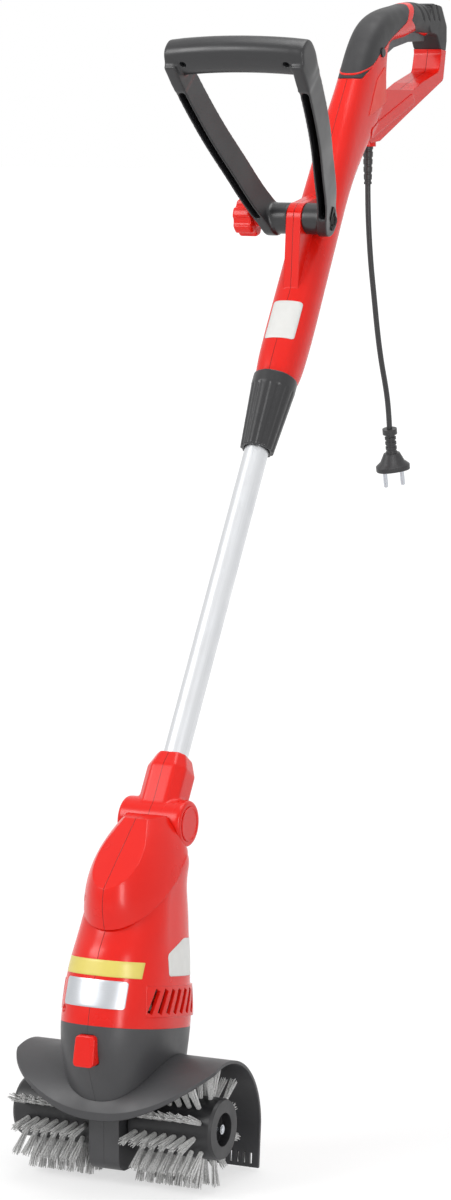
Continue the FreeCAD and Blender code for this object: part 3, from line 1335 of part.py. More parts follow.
def tube_socket():
    """Clamshell socket: barrel across the pivot, eight-sided neck and the tube's bore."""
    barrel = up_side_disc(BARREL_RADIUS, BARREL_HALF_LENGTH)
    rims = [edge for edge in barrel.Edges if len(edge.Vertexes) == 1 or edge.Closed]
    barrel = barrel.makeFillet(BARREL_ROUND, rims)
    neck = Part.makeLoft([octagon(SOCKET_HALF_WIDTH, SOCKET_HALF_DEPTH, SOCKET_CORNER, 0),
                          octagon(SOCKET_HALF_WIDTH, SOCKET_HALF_DEPTH, SOCKET_CORNER,
                                  SOCKET_SHOULDER)], True, True)
    cone = Part.makeLoft([octagon(SOCKET_HALF_WIDTH, SOCKET_HALF_DEPTH, SOCKET_CORNER,
                                  SOCKET_SHOULDER),
                          octagon(SOCKET_TOP_HALF, SOCKET_TOP_HALF, SOCKET_TOP_CORNER,
                                  SOCKET_TOP)], True, True)
    body = fused([barrel, neck, cone])
    room = up_side_disc(BARREL_CHAMBER, TONGUE_HALF + BODY_GAP)
    first = 270 - TONGUE_SLOT_HALF_ANGLE - TILT_UP
    last = 270 + TONGUE_SLOT_HALF_ANGLE + TILT_DOWN
    body = body.cut(room).cut(sector(first, last, BARREL_RADIUS * 2, TONGUE_HALF + BODY_GAP))
    body = body.cut(up_bar(TUBE_RADIUS + SEAT_GAP, TUBE_BOTTOM - SEAT_GAP, SOCKET_TOP + OVERRUN))
    body = body.cut(up_side_disc(PIN_RADIUS, PIN_HALF))
    for side in (-1, 1):
        body = body.cut(rod(CAP_RADIUS + SEAT_GAP, Vector(barrel_end(side), 0, 0),
                            Vector(barrel_end(side) + side * OVERRUN * 2, 0, 0)))
    seat = SOCKET_HALF_DEPTH - SOCKET_SCREW_RECESS
    body = body.cut(rod(SOCKET_SCREW_SHANK, Vector(0, TUBE_BORE, SOCKET_SCREW_AT),
                        Vector(0, seat, SOCKET_SCREW_AT)))
    body = body.cut(rod(SOCKET_SCREW_HEAD + SEAT_GAP, Vector(0, seat, SOCKET_SCREW_AT),
                        Vector(0, FAR, SOCKET_SCREW_AT)))
    return placed(body, TUBE_FRAME)


def pivot_caps():
    """Flat discs in the ends of the barrel."""
    caps = []
    for side in (-1, 1):
        disc = rod(CAP_RADIUS, Vector(barrel_end(side), 0, 0),
                   Vector(barrel_end(side) + side * CAP_THICKNESS, 0, 0))
        caps.append(placed(disc, TUBE_FRAME))
    return group(caps)


def tube_screw():
    """Screw that holds the tube in its socket, from behind."""
    seat = SOCKET_HALF_DEPTH - SOCKET_SCREW_RECESS
    screw = pan_screw(SOCKET_SCREW_HEAD, SOCKET_SCREW_HEAD_HEIGHT, SOCKET_SCREW_SHANK,
                      Vector(0, seat, SOCKET_SCREW_AT), Vector(0, -1, 0),
                      seat - TUBE_BORE + SEAT_GAP)
    return placed(screw, TUBE_FRAME)


def tube():
    """Aluminium tube with the screw's hole near its foot."""
    pipe = up_bar(TUBE_RADIUS, TUBE_BOTTOM, TUBE_TOP).cut(up_bar(TUBE_BORE, TUBE_BOTTOM, TUBE_TOP))
    hole = rod(SOCKET_SCREW_SHANK, Vector(0, 0, SOCKET_SCREW_AT),
               Vector(0, TUBE_RADIUS + OVERRUN, SOCKET_SCREW_AT))
    return placed(pipe.cut(hole), TUBE_FRAME)


def turned_profile(points):
    """A body turned about the tube's axis from an outline of radius and height."""
    corners = [Vector(r, 0, z) for r, z in points]
    face = Part.Face(Part.makePolygon(corners + corners[:1]))
    return face.revolve(Vector(0, 0, 0), Vector(0, 0, 1), 360)


def lock_sleeve():
    """Fluted twist sleeve that tightens the collet on the tube."""
    inner = COLLET_RADIUS + BODY_GAP
    body = turned_profile([
        (SLEEVE_LIP_BORE, SLEEVE_BOTTOM), (SLEEVE_BOTTOM_RADIUS, SLEEVE_BOTTOM),
        (SLEEVE_TOP_RADIUS, SLEEVE_TOP - SLEEVE_RIM), (SLEEVE_TOP_RADIUS, SLEEVE_TOP),
        (SPIGOT_RADIUS + BODY_GAP, SLEEVE_TOP), (SPIGOT_RADIUS + BODY_GAP, SPIGOT_BOTTOM - BODY_GAP),
        (inner, SPIGOT_BOTTOM - BODY_GAP), (inner, SLEEVE_BOTTOM + SLEEVE_LIP),
        (SLEEVE_LIP_BORE, SLEEVE_BOTTOM + SLEEVE_LIP),
    ])
    low = Vector(SLEEVE_BOTTOM_RADIUS + SLEEVE_FLUTE_RADIUS - SLEEVE_FLUTE_DEPTH, 0, SLEEVE_BOTTOM)
    high = Vector(SLEEVE_TOP_RADIUS + SLEEVE_FLUTE_RADIUS - SLEEVE_FLUTE_DEPTH, 0,
                  SLEEVE_TOP - SLEEVE_RIM)
    run = (high - low).normalize()
    flutes = []
    for i in range(SLEEVE_FLUTES):
        flute = rod(SLEEVE_FLUTE_RADIUS, low - run * OVERRUN, high - run * SLEEVE_FLUTE_RADIUS)
        ball = Part.makeSphere(SLEEVE_FLUTE_RADIUS, high - run * SLEEVE_FLUTE_RADIUS)
        flute = flute.fuse(ball)
        flute.rotate(Vector(0, 0, 0), Vector(0, 0, 1), 360 * i / SLEEVE_FLUTES)
        flutes.append(flute)
    return placed(body.cut(group(flutes)), TUBE_FRAME)


def clamp_collet():
    """Slotted ring that the sleeve closes on the tube."""
    bore = TUBE_RADIUS + RUN_FIT
    body = turned_profile([
        (bore, COLLET_BOTTOM), (COLLET_RADIUS, COLLET_BOTTOM), (COLLET_RADIUS, COLLET_FLANGE_FROM),
        (COLLET_FLANGE_RADIUS, COLLET_FLANGE_FROM), (COLLET_FLANGE_RADIUS, COLLET_FLANGE_TO),
        (COLLET_RADIUS, COLLET_FLANGE_TO), (COLLET_RADIUS, COLLET_TOP), (bore, COLLET_TOP),
    ])
    slots = []
    for i in range(COLLET_SLOTS):
        slot = block(0, COLLET_RADIUS * 2, -COLLET_SLOT_WIDTH / 2, COLLET_SLOT_WIDTH / 2,
                     COLLET_BOTTOM - OVERRUN, COLLET_SLOT_TOP)
        slot.rotate(Vector(0, 0, 0), Vector(0, 0, 1), 360 * (i + 0.5) / COLLET_SLOTS)
        slots.append(slot)
    return placed(body.cut(group(slots)), TUBE_FRAME)


# Handle housing
def handle_loft(inset):
    """Smooth body of the handle from the sleeve to the top of the grip."""
    wires = []
    for front_z, front_y, back_z, back_y, width, power in HANDLE_shares:
        front = Vector(0, front_y * HANDLE_DEPTH, front_z * HANDLE_LENGTH)
        back = Vector(0, back_y * HANDLE_DEPTH, back_z * HANDLE_LENGTH)
        half = (back - front).Length / 2 - inset
        wires.append(oval_wire((front + back) * 0.5, Vector(1, 0, 0), (back - front).normalize(),
                               width * HANDLE_HALF_WIDTH - inset, half, half, power, power))
    return placed(Part.makeLoft(wires, True, False), TUBE_FRAME)


def rear_loop(inset):
    """Column and lower bar behind the hand opening, bevelled on both sides."""
    points = [(y * LOOP_BACK, z * LOOP_TOP) for y, z in LOOP_shares]
    outline = rounded_wire(side_corners(points, -LOOP_HALF_WIDTH + inset), LOOP_ROUND)
    if inset > 0:
        outline = outline.makeOffset2D(-inset)
    return Part.Face(outline).extrude(Vector(2 * (LOOP_HALF_WIDTH - inset), 0, 0))


def handle_form(inset):
    """Loft and rear loop together."""
    return handle_loft(inset).fuse(rear_loop(inset))


def ear():
    """Lug on the front of the handle that carries the loop handle's bolt."""
    hub = rod(EAR_RADIUS, Vector(-EAR_HALF_WIDTH, EAR_OUT, EAR_AT), Vector(EAR_HALF_WIDTH, EAR_OUT, EAR_AT))
    points = [(EAR_ROOT_OUT, EAR_ROOT_LOW), (EAR_OUT - EAR_RADIUS * 0.90, EAR_AT - EAR_RADIUS * 0.43),
              (EAR_OUT, EAR_AT), (EAR_OUT - EAR_RADIUS * 0.50, EAR_AT + EAR_RADIUS * 0.866),
              (EAR_ROOT_OUT, EAR_ROOT_HIGH)]
    return placed(fused([hub, side_plate(points, EAR_HALF_WIDTH)]), TUBE_FRAME)


def region(shares):
    """Side-view region of the grip, carried across the whole width."""
    points = [(y * HANDLE_DEPTH, z * HANDLE_LENGTH) for z, y in shares]
    return placed(side_plate(points, FAR), TUBE_FRAME)


def handle_slab(low, high):
    """Everything between two heights up the tube."""
    return placed(block(-FAR, FAR, -FAR, FAR, low, high), TUBE_FRAME)


def trigger_outline():
    """Side outline of the trigger."""
    return [(y * TRIGGER_BACK, z * TRIGGER_HEIGHT) for y, z in TRIGGER_shares]


def trigger():
    """Long lever under the grip, on a pin near the rear column."""
    outline = rounded_wire(side_corners(trigger_outline(), -TRIGGER_HALF_WIDTH), TRIGGER_ROUND)
    body = Part.Face(outline).extrude(Vector(2 * TRIGGER_HALF_WIDTH, 0, 0))
    return body.cut(cross_bar(TRIGGER_PIN_RADIUS + RUN_FIT, TRIGGER_PIN_AT, TRIGGER_PIN_HEIGHT,
                              -FAR, FAR))


def trigger_sweep():
    """Room that the trigger needs in the housing over its whole swing."""
    grown = []
    base = side_plate(trigger_outline(), TRIGGER_HALF_WIDTH + TRIGGER_SLOT_GAP)
    for i in range(TRIGGER_SWEEP_STEPS + 1):
        copy = base.copy()
        copy.rotate(Vector(0, TRIGGER_PIN_AT, TRIGGER_PIN_HEIGHT), Vector(1, 0, 0),
                    -TRIGGER_SWING * i / TRIGGER_SWEEP_STEPS)
        grown.append(copy)
    return grown


def switch_frame():
    """Where the switch sits."""
    return Placement(Vector(0, SWITCH_BACK, SWITCH_HEIGHT), Rotation(Vector(1, 0, 0), SWITCH_TURN))


def power_switch(grow):
    """Box of the switch, with room round it when it grows."""
    box_of = block(-SWITCH_HALF_WIDTH - grow, SWITCH_HALF_WIDTH + grow,
                   -SWITCH_LENGTH / 2 - grow, SWITCH_LENGTH / 2 + grow,
                   -SWITCH_TALL / 2 - grow, SWITCH_TALL / 2 + grow)
    return placed(box_of, switch_frame())


def lock_outer():
    """Outer face of the lock-off button."""
    return LOOP_HALF_WIDTH + LOCK_PROUD


def lock_off_button():
    """Small button on the +X side with a flange inside the wall."""
    stem = cross_bar(LOCK_RADIUS, LOCK_BACK, LOCK_HEIGHT, LOCK_INNER, lock_outer())
    flange = cross_bar(LOCK_FLANGE_RADIUS, LOCK_BACK, LOCK_HEIGHT, LOCK_INNER,
                       LOCK_INNER + LOCK_FLANGE)
    return stem.fuse(flange).removeSplitter()


def lock_off_spring():
    """Coil behind the lock-off button."""
    return spring(Vector(LOCK_INNER, LOCK_BACK, LOCK_HEIGHT), Vector(-1, 0, 0), Vector(0, 1, 0),
                  LOCK_SPRING_RADIUS, LOCK_SPRING_WIRE, LOCK_SPRING_LENGTH, LOCK_SPRING_TURNS)


def trigger_spring():
    """Coil between the trigger and the roof of the grip."""
    return spring(Vector(0, TRIGGER_SPRING_BACK, TRIGGER_SPRING_FOOT), Vector(0, 0, 1), Vector(1, 0, 0),
                  TRIGGER_SPRING_RADIUS, LOCK_SPRING_WIRE, TRIGGER_SPRING_LENGTH, TRIGGER_SPRING_TURNS)


def handle_screw_places():
    """Screw places of the handle in the tool's own frame."""
    places = []
    for along, out in HANDLE_SCREW_shares:
        spot = TUBE_FRAME.multVec(Vector(0, out * HANDLE_DEPTH, along * HANDLE_LENGTH))
        places.append((spot.y, spot.z))
    return places


def cord_gland():
    """Tapered strain relief with shallow rings and a flange inside the housing."""
    profile = [(CORD_RADIUS, GLAND_BOTTOM), (GLAND_TIP_RADIUS, GLAND_BOTTOM)]
    length = GLAND_BOSS_BOTTOM - GLAND_BOTTOM
    for i in range(GLAND_RIBS):
        for share, cut in ((0.30, 0), (0.34, GLAND_RIB_CUT), (0.60, GLAND_RIB_CUT), (0.64, 0)):
            height = (i + share) / GLAND_RIBS
            radius = GLAND_TIP_RADIUS + (GLAND_NECK_RADIUS - GLAND_TIP_RADIUS) * height - cut
            profile.append((radius, GLAND_BOTTOM + length * height))
    profile += [(GLAND_NECK_RADIUS, GLAND_BOSS_BOTTOM), (GLAND_NECK_RADIUS, GLAND_TOP - GLAND_FLANGE),
                (GLAND_FLANGE_RADIUS, GLAND_TOP - GLAND_FLANGE), (GLAND_FLANGE_RADIUS, GLAND_TOP),
                (CORD_RADIUS, GLAND_TOP)]
    body = turned_profile(profile)
    body.translate(Vector(0, GLAND_BACK, 0))
    return body


def handle_housing(form, skin_rooms):
    """Red handle: shell, tube guide, bosses, and the openings for trigger, button and gland."""
    solid = form
    for room in skin_rooms:
        solid = solid.cut(room)
    spigot = placed(up_bar(SPIGOT_RADIUS, SPIGOT_BOTTOM, COLLET_SEAT_TOP), TUBE_FRAME)
    solid = solid.fuse(spigot).fuse(ear())
    boss = rod(GLAND_BOSS_RADIUS, Vector(0, GLAND_BACK, GLAND_BOSS_BOTTOM),
               Vector(0, GLAND_BACK, GLAND_TOP - GLAND_FLANGE))
    solid = solid.fuse(boss)
    shaft_room = handle_loft(HANDLE_WALL).common(handle_slab(COLLET_SEAT_TOP, GRIP_START))
    grip_room = handle_form(HANDLE_WALL + GRIP_SKIN).common(handle_slab(GRIP_START - SEAT_GAP, FAR * 4))
    hollow = shaft_room.fuse(grip_room)
    places = handle_screw_places()
    keep = [cross_bar(HANDLE_BOSS_RADIUS, y, z, -FAR, FAR) for y, z in places]
    lock_wall = block(0, LOCK_INNER - LOCK_SPRING_LENGTH, LOCK_BACK - FAR,
                      LOCK_BACK + LOCK_FLANGE_RADIUS, LOCK_HEIGHT - LOCK_FLANGE_RADIUS,
                      LOCK_HEIGHT + LOCK_FLANGE_RADIUS)
    gland_seat = rod(GLAND_BOSS_RADIUS + HANDLE_WALL, Vector(0, GLAND_BACK, GLAND_BOSS_BOTTOM),
                     Vector(0, GLAND_BACK, GLAND_TOP))
    hollow = hollow.cut(group(keep)).cut(lock_wall).cut(gland_seat)
    body = solid.cut(hollow)
    body = body.cut(placed(up_bar(TUBE_CHANNEL, COLLET_SEAT_TOP - SEAT_GAP, TUBE_TOP + TUBE_TRAVEL + OVERRUN),
                           TUBE_FRAME))
    collet = placed(up_bar(COLLET_RADIUS, SPIGOT_BOTTOM - OVERRUN, COLLET_SEAT_TOP), TUBE_FRAME)
    flange = placed(up_bar(COLLET_FLANGE_RADIUS, COLLET_FLANGE_FROM, COLLET_FLANGE_TO), TUBE_FRAME)
    body = body.cut(collet).cut(flange)
    bolt = placed(rod(BOLT_RADIUS + RUN_FIT, Vector(-FAR, EAR_OUT, EAR_AT), Vector(FAR, EAR_OUT, EAR_AT)),
                  TUBE_FRAME)
    body = body.cut(bolt)
    for sweep in trigger_sweep():
        body = body.cut(sweep)
    body = body.cut(cross_bar(TRIGGER_PIN_RADIUS, TRIGGER_PIN_AT, TRIGGER_PIN_HEIGHT,
                              -TRIGGER_PIN_HALF, TRIGGER_PIN_HALF))
    body = body.cut(power_switch(0))
    body = body.cut(cross_bar(LOCK_RADIUS + BODY_GAP, LOCK_BACK, LOCK_HEIGHT, LOCK_INNER, FAR))
    body = body.cut(rod(GLAND_NECK_RADIUS, Vector(0, GLAND_BACK, GLAND_BOTTOM), Vector(0, GLAND_BACK, GLAND_TOP)))
    body = body.cut(rod(GLAND_FLANGE_RADIUS, Vector(0, GLAND_BACK, GLAND_TOP - GLAND_FLANGE),
                        Vector(0, GLAND_BACK, GLAND_TOP)))
    return body.cut(screw_holes(places, HANDLE_SCREW_SEAT, HANDLE_SCREW_END, HANDLE_SCREW_SHANK,
                                HANDLE_SCREW_HEAD_RADIUS))


# Front loop handle, built in its own frame round the bolt
LOOP_PIVOT = TUBE_FRAME.multVec(Vector(0, EAR_OUT, EAR_AT))
LOOP_FRAME = Placement(LOOP_PIVOT, Rotation(Vector(1, 0, 0), ARM_LEAN))


def arm_face(half_from, half_to):
    """Both arms' face outlines across X: list of outer points then inner points."""
    outer = [Vector(reach * ARM_REACH - half_from, 0, along * ARM_LENGTH) for along, reach in ARM_shares]
    inner = [Vector(reach * ARM_REACH - half_to, 0, along * ARM_LENGTH) for along, reach in ARM_shares]
    return outer, inner


def arm_plate(side, half_from, half_to, y_from, y_to):
    """One arm between two distances inside its outer face, carried along its depth."""
    outer, inner = arm_face(half_from, half_to)
    outer_curve = Part.BSplineCurve()
    outer_curve.interpolate([Vector(side * p.x, y_from, p.z) for p in outer])
    inner_curve = Part.BSplineCurve()
    inner_curve.interpolate([Vector(side * p.x, y_from, p.z) for p in inner])
    first = Part.makeLine(outer_curve.StartPoint, inner_curve.StartPoint)
    last = Part.makeLine(outer_curve.EndPoint, inner_curve.EndPoint)
    wire = Part.Wire(Part.__sortEdges__([outer_curve.toShape(), first, inner_curve.toShape(), last]))
    return Part.Face(wire).extrude(Vector(0, y_to - y_from, 0))


def bar_form(inset, half_length):
    """Bowed top bar as a loft of rounded ovals from end to end."""
    wires = []
    steps = 8
    for i in range(steps + 1):
        share = 2 * i / steps - 1
        lift = -BAR_BOW * share * share
        wires.append(oval_wire(Vector(share * half_length, BAR_OFFSET, ARM_LENGTH + lift),
                               Vector(0, 0, 1), Vector(0, 1, 0), BAR_HALF_TALL - inset,
                               BAR_HALF_DEPTH - inset, BAR_HALF_DEPTH - inset,
                               BAR_SQUARE_POWER, BAR_SQUARE_POWER))
    return Part.makeLoft(wires, True, False)


def arm_low():
    """Height of the arms' lower ends in the loop's frame."""
    return ARM_shares[0][0] * ARM_LENGTH


def loop_arms():
    """Both arms, their bosses and the bar's core as one moulding."""
    front = ARM_OFFSET - ARM_HALF_DEPTH
    back = ARM_OFFSET + ARM_HALF_DEPTH
    parts = []
    foot_round = rod(ARM_HALF_DEPTH, Vector(-FAR, ARM_OFFSET, 0), Vector(FAR, ARM_OFFSET, 0))
    foot = block(-FAR, FAR, -FAR, FAR, -FAR, 0).cut(foot_round)
    for side in (-1, 1):
        arm = arm_plate(side, 0, ARM_THICKNESS, front, back)
        hollow = arm_plate(side, ARM_WALL, ARM_THICKNESS - ARM_WALL, front - OVERRUN, back - ARM_WEB)
        low_room = block(-FAR, FAR, -FAR, FAR, ARM_BOSS_RADIUS, ARM_LENGTH - GRIP_END_DROP - ARM_WALL)
        parts.append(arm.cut(hollow.common(low_room)).cut(foot))
        outer_end = ARM_shares[0][1] * ARM_REACH
        parts.append(rod(ARM_BOSS_RADIUS, Vector(side * ARM_BOSS_INNER, 0, 0),
                         Vector(side * outer_end, 0, 0)))
    parts.append(bar_form(BAR_CORE_INSET, ARM_REACH - ARM_THICKNESS))
    body = fused(parts)
    body = body.cut(rod(BOLT_RADIUS + RUN_FIT, Vector(-FAR, 0, 0), Vector(FAR, 0, 0)))
    outer_end = ARM_shares[0][1] * ARM_REACH
    pocket = rod(BOLT_HEAD_RADIUS + BODY_GAP * 2, Vector(outer_end - BOLT_HEAD_LENGTH, 0, 0),
                 Vector(outer_end + FAR, 0, 0))
    body = body.cut(pocket)
    for x in (-LOOP_SCREW_SPREAD, LOOP_SCREW_SPREAD):
        body = body.cut(loop_screw_hole(x))
    return placed(body, LOOP_FRAME)


def loop_screw_hole(x):
    """Pilot hole of one grip screw through the bar."""
    z = ARM_LENGTH - LOOP_SCREW_DROP
    return rod(LOOP_SCREW_SHANK, Vector(x, -BAR_HALF_DEPTH + LOOP_SCREW_SINK, z),
               Vector(x, -BAR_HALF_DEPTH + LOOP_SCREW_SINK + LOOP_SCREW_LENGTH, z))


def grip_solid():
    """Outer form of the two-piece grip: the bar and the shoulders down the arms."""
    parts = [bar_form(0, ARM_REACH)]
    room = block(-FAR, FAR, -FAR, FAR, ARM_LENGTH - GRIP_END_DROP, ARM_LENGTH)
    for side in (-1, 1):
        shoulder = arm_plate(side, -SEAT_GAP * 8, ARM_THICKNESS + SEAT_GAP * 8,
                             ARM_OFFSET - ARM_HALF_DEPTH - SEAT_GAP * 8,
                             ARM_OFFSET + ARM_HALF_DEPTH + SEAT_GAP * 8)
        parts.append(shoulder.common(room))
    return fused(parts)


def loop_grips(arms):
    """Front and rear grip shells that close round the bar's core."""
    solid = placed(grip_solid(), LOOP_FRAME).cut(arms)
    front_room = placed(block(-FAR, FAR, -FAR, GRIP_SPLIT, -FAR, FAR), LOOP_FRAME)
    shells = []
    for shell in (solid.common(front_room), solid.cut(front_room)):
        for x in (-LOOP_SCREW_SPREAD, LOOP_SCREW_SPREAD):
            shell = shell.cut(placed(loop_screw_hole(x), LOOP_FRAME))
        shells.append(shell)
    sinks = []
    for x in (-LOOP_SCREW_SPREAD, LOOP_SCREW_SPREAD):
        z = ARM_LENGTH - LOOP_SCREW_DROP
        sinks.append(rod(LOOP_SCREW_HEAD + SEAT_GAP, Vector(x, -FAR, z),
                         Vector(x, -BAR_HALF_DEPTH + LOOP_SCREW_SINK, z)))
    return shells[0].cut(placed(group(sinks), LOOP_FRAME)), shells[1]


def loop_screws():
    """The two sunk screws of the grip."""
    screws = []
    for x in (-LOOP_SCREW_SPREAD, LOOP_SCREW_SPREAD):
        seat = Vector(x, -BAR_HALF_DEPTH + LOOP_SCREW_SINK, ARM_LENGTH - LOOP_SCREW_DROP)
        screws.append(pan_screw(LOOP_SCREW_HEAD, LOOP_SCREW_HEAD_HEIGHT, LOOP_SCREW_SHANK, seat,
                                Vector(0, 1, 0), LOOP_SCREW_LENGTH))
    return placed(group(screws), LOOP_FRAME)


def handle_bolt():
    """Bolt through the loop handle's bosses, its head on the +X side."""
    outer_end = ARM_shares[0][1] * ARM_REACH
    shank = rod(BOLT_RADIUS, Vector(-KNOB_OUTER + KNOB_STEM_LENGTH, 0, 0), Vector(outer_end, 0, 0))
    corners = []
    for i in range(6):
        turn = i * math.pi / 3
        corners.append(Vector(outer_end - BOLT_HEAD_LENGTH, BOLT_HEAD_RADIUS * math.cos(turn),
                              BOLT_HEAD_RADIUS * math.sin(turn)))
    head = Part.Face(Part.makePolygon(corners + corners[:1])).extrude(Vector(BOLT_HEAD_LENGTH, 0, 0))
    return placed(fused([shank, head]), LOOP_FRAME)


def star_knob():
    """Six-lobed knob on the bolt's -X end."""
    head_inner = -KNOB_INNER - KNOB_STEM_LENGTH
    disc = Part.makeCylinder(KNOB_RADIUS, KNOB_OUTER - KNOB_INNER - KNOB_STEM_LENGTH,
                             Vector(head_inner, 0, 0), Vector(-1, 0, 0))
    disc = disc.makeChamfer(KNOB_BEVEL, [edge for edge in disc.Edges if edge.Closed and len(edge.Vertexes) == 1])
    cuts = []
    for i in range(KNOB_LOBES):
        turn = 2 * math.pi * (i + 0.5) / KNOB_LOBES
        reach = KNOB_RADIUS + KNOB_LOBE_CUT * 0.45
        cuts.append(rod(KNOB_LOBE_CUT, Vector(-FAR, reach * math.cos(turn), reach * math.sin(turn)),
                        Vector(FAR, reach * math.cos(turn), reach * math.sin(turn))))
    stem = rod(KNOB_STEM_RADIUS, Vector(-KNOB_INNER, 0, 0), Vector(head_inner, 0, 0))
    body = fused([disc.cut(group(cuts)), stem])
    bore = rod(BOLT_RADIUS + RUN_FIT, Vector(0, 0, 0), Vector(-KNOB_OUTER + KNOB_STEM_LENGTH, 0, 0))
    return placed(body.cut(bore), LOOP_FRAME)


# Mains lead and plug
def cord_path():
    """Straight runs joined by arcs that touch both of their runs."""
    spots = [Vector(0, y, z) for y, z in CORD_POINTS]
    edges = []
    radii = []
    length = 0
    last = spots[0]
    for i in range(1, len(spots) - 1):
        before = spots[i - 1] - spots[i]
        after = spots[i + 1] - spots[i]
        reach = CORD_ARC_SHARE * min(before.Length, after.Length)
        start = spots[i] + before.normalize() * reach
        end = spots[i] + after.normalize() * reach
        turn = math.pi - before.getAngle(after)
        radii.append(reach / math.tan(turn / 2))
        edges.append(Part.makeLine(last, start))
        edges.append(arc_past(start, spots[i], end))
        last = end
    edges.append(Part.makeLine(last, spots[-1]))
    for edge in edges:
        length += edge.Length
    return Part.Wire(edges), length, radii


def power_cord():
    """Free stretch of the lead, and a print of its radii and volume."""
    path, length, radii = cord_path()
    start = Vector(0, CORD_POINTS[0][0], CORD_POINTS[0][1])
    first = Vector(0, CORD_POINTS[1][0], CORD_POINTS[1][1]) - start
    section = Part.Wire([Part.makeCircle(CORD_RADIUS, start, first)])
    body = path.makePipeShell([section], True, False)
    ideal = math.pi * CORD_RADIUS ** 2 * length
    print("cord length %.1f, radii %s" % (length, ", ".join("%.0f" % r for r in radii)))
    print("cord volume over section times length: %.4f" % (body.Volume / ideal))
    return body


def plug_frame():
    """Frame at the lead's end, Z running on along the lead."""
    end = Vector(0, CORD_POINTS[-1][0], CORD_POINTS[-1][1])
    tilt = Rotation(Vector(1, 0, 0), 180 + PLUG_LEAN)
    return Placement(end, tilt.multiply(Rotation(Vector(0, 0, 1), PLUG_TURN)))


def plug_body():
    """Moulded two-pin plug: collar, ringed neck and a body that widens to its face."""
    collar = up_bar(PLUG_COLLAR_RADIUS, 0, PLUG_COLLAR_LENGTH)
    neck_top = PLUG_COLLAR_LENGTH + PLUG_NECK_LENGTH
    neck = Part.makeCone(PLUG_NECK_RADIUS, PLUG_NECK_RADIUS * 1.25, PLUG_NECK_LENGTH,
                         Vector(0, 0, PLUG_COLLAR_LENGTH))
    rings = []
    for i in range(PLUG_NECK_RINGS):
        z = PLUG_COLLAR_LENGTH + PLUG_NECK_LENGTH * (i + 0.6) / PLUG_NECK_RINGS
        rings.append(up_bar(PLUG_NECK_RADIUS * 1.35, z, z + PLUG_NECK_LENGTH / PLUG_NECK_RINGS / 2))
    wires = []
    for z, long_half, short_half, power in (
            (neck_top, PLUG_SHOULDER_HALF_LONG, PLUG_SHOULDER_HALF_SHORT, 2.0),
            (neck_top + PLUG_BODY_LENGTH * 0.5, PLUG_FACE_HALF_LONG * 0.72, PLUG_FACE_HALF_SHORT * 0.85, 2.2),
            (neck_top + PLUG_BODY_LENGTH - PLUG_FLANGE, PLUG_FACE_HALF_LONG, PLUG_FACE_HALF_SHORT, 2.4),
            (neck_top + PLUG_BODY_LENGTH, PLUG_FACE_HALF_LONG, PLUG_FACE_HALF_SHORT, 2.4)):
        wires.append(oval_wire(Vector(0, 0, z), Vector(1, 0, 0), Vector(0, 1, 0), long_half,
                               short_half, short_half, power, power))
    head = Part.makeLoft(wires, True, True)
    body = fused([collar, neck, head] + rings)
    face = neck_top + PLUG_BODY_LENGTH
    for side in (-1, 1):
        body = body.cut(up_bar(PLUG_PIN_ROOT_RADIUS, face - PLUG_PIN_ROOT, face + OVERRUN,
                               side * PLUG_PIN_SPACING / 2))
    return placed(body, plug_frame())


def plug_pins():
    """Two round pins with domed tips."""
    face = PLUG_COLLAR_LENGTH + PLUG_NECK_LENGTH + PLUG_BODY_LENGTH
    pins = []
    for side in (-1, 1):
        x = side * PLUG_PIN_SPACING / 2
        root = up_bar(PLUG_PIN_ROOT_RADIUS, face - PLUG_PIN_ROOT, face + PLUG_PIN_SHOULDER, x)
        pin = up_bar(PLUG_PIN_RADIUS, face + PLUG_PIN_SHOULDER, face + PLUG_PIN_LENGTH, x)
        tip = [edge for edge in pin.Edges if edge.Closed and len(edge.Vertexes) == 1
               and edge.CenterOfMass.z > face + PLUG_PIN_LENGTH / 2]
        pin = pin.makeFillet(PLUG_PIN_RADIUS * 0.6, tip)
        pins.append(placed(pin.fuse(root), plug_frame()))
    return group(pins)


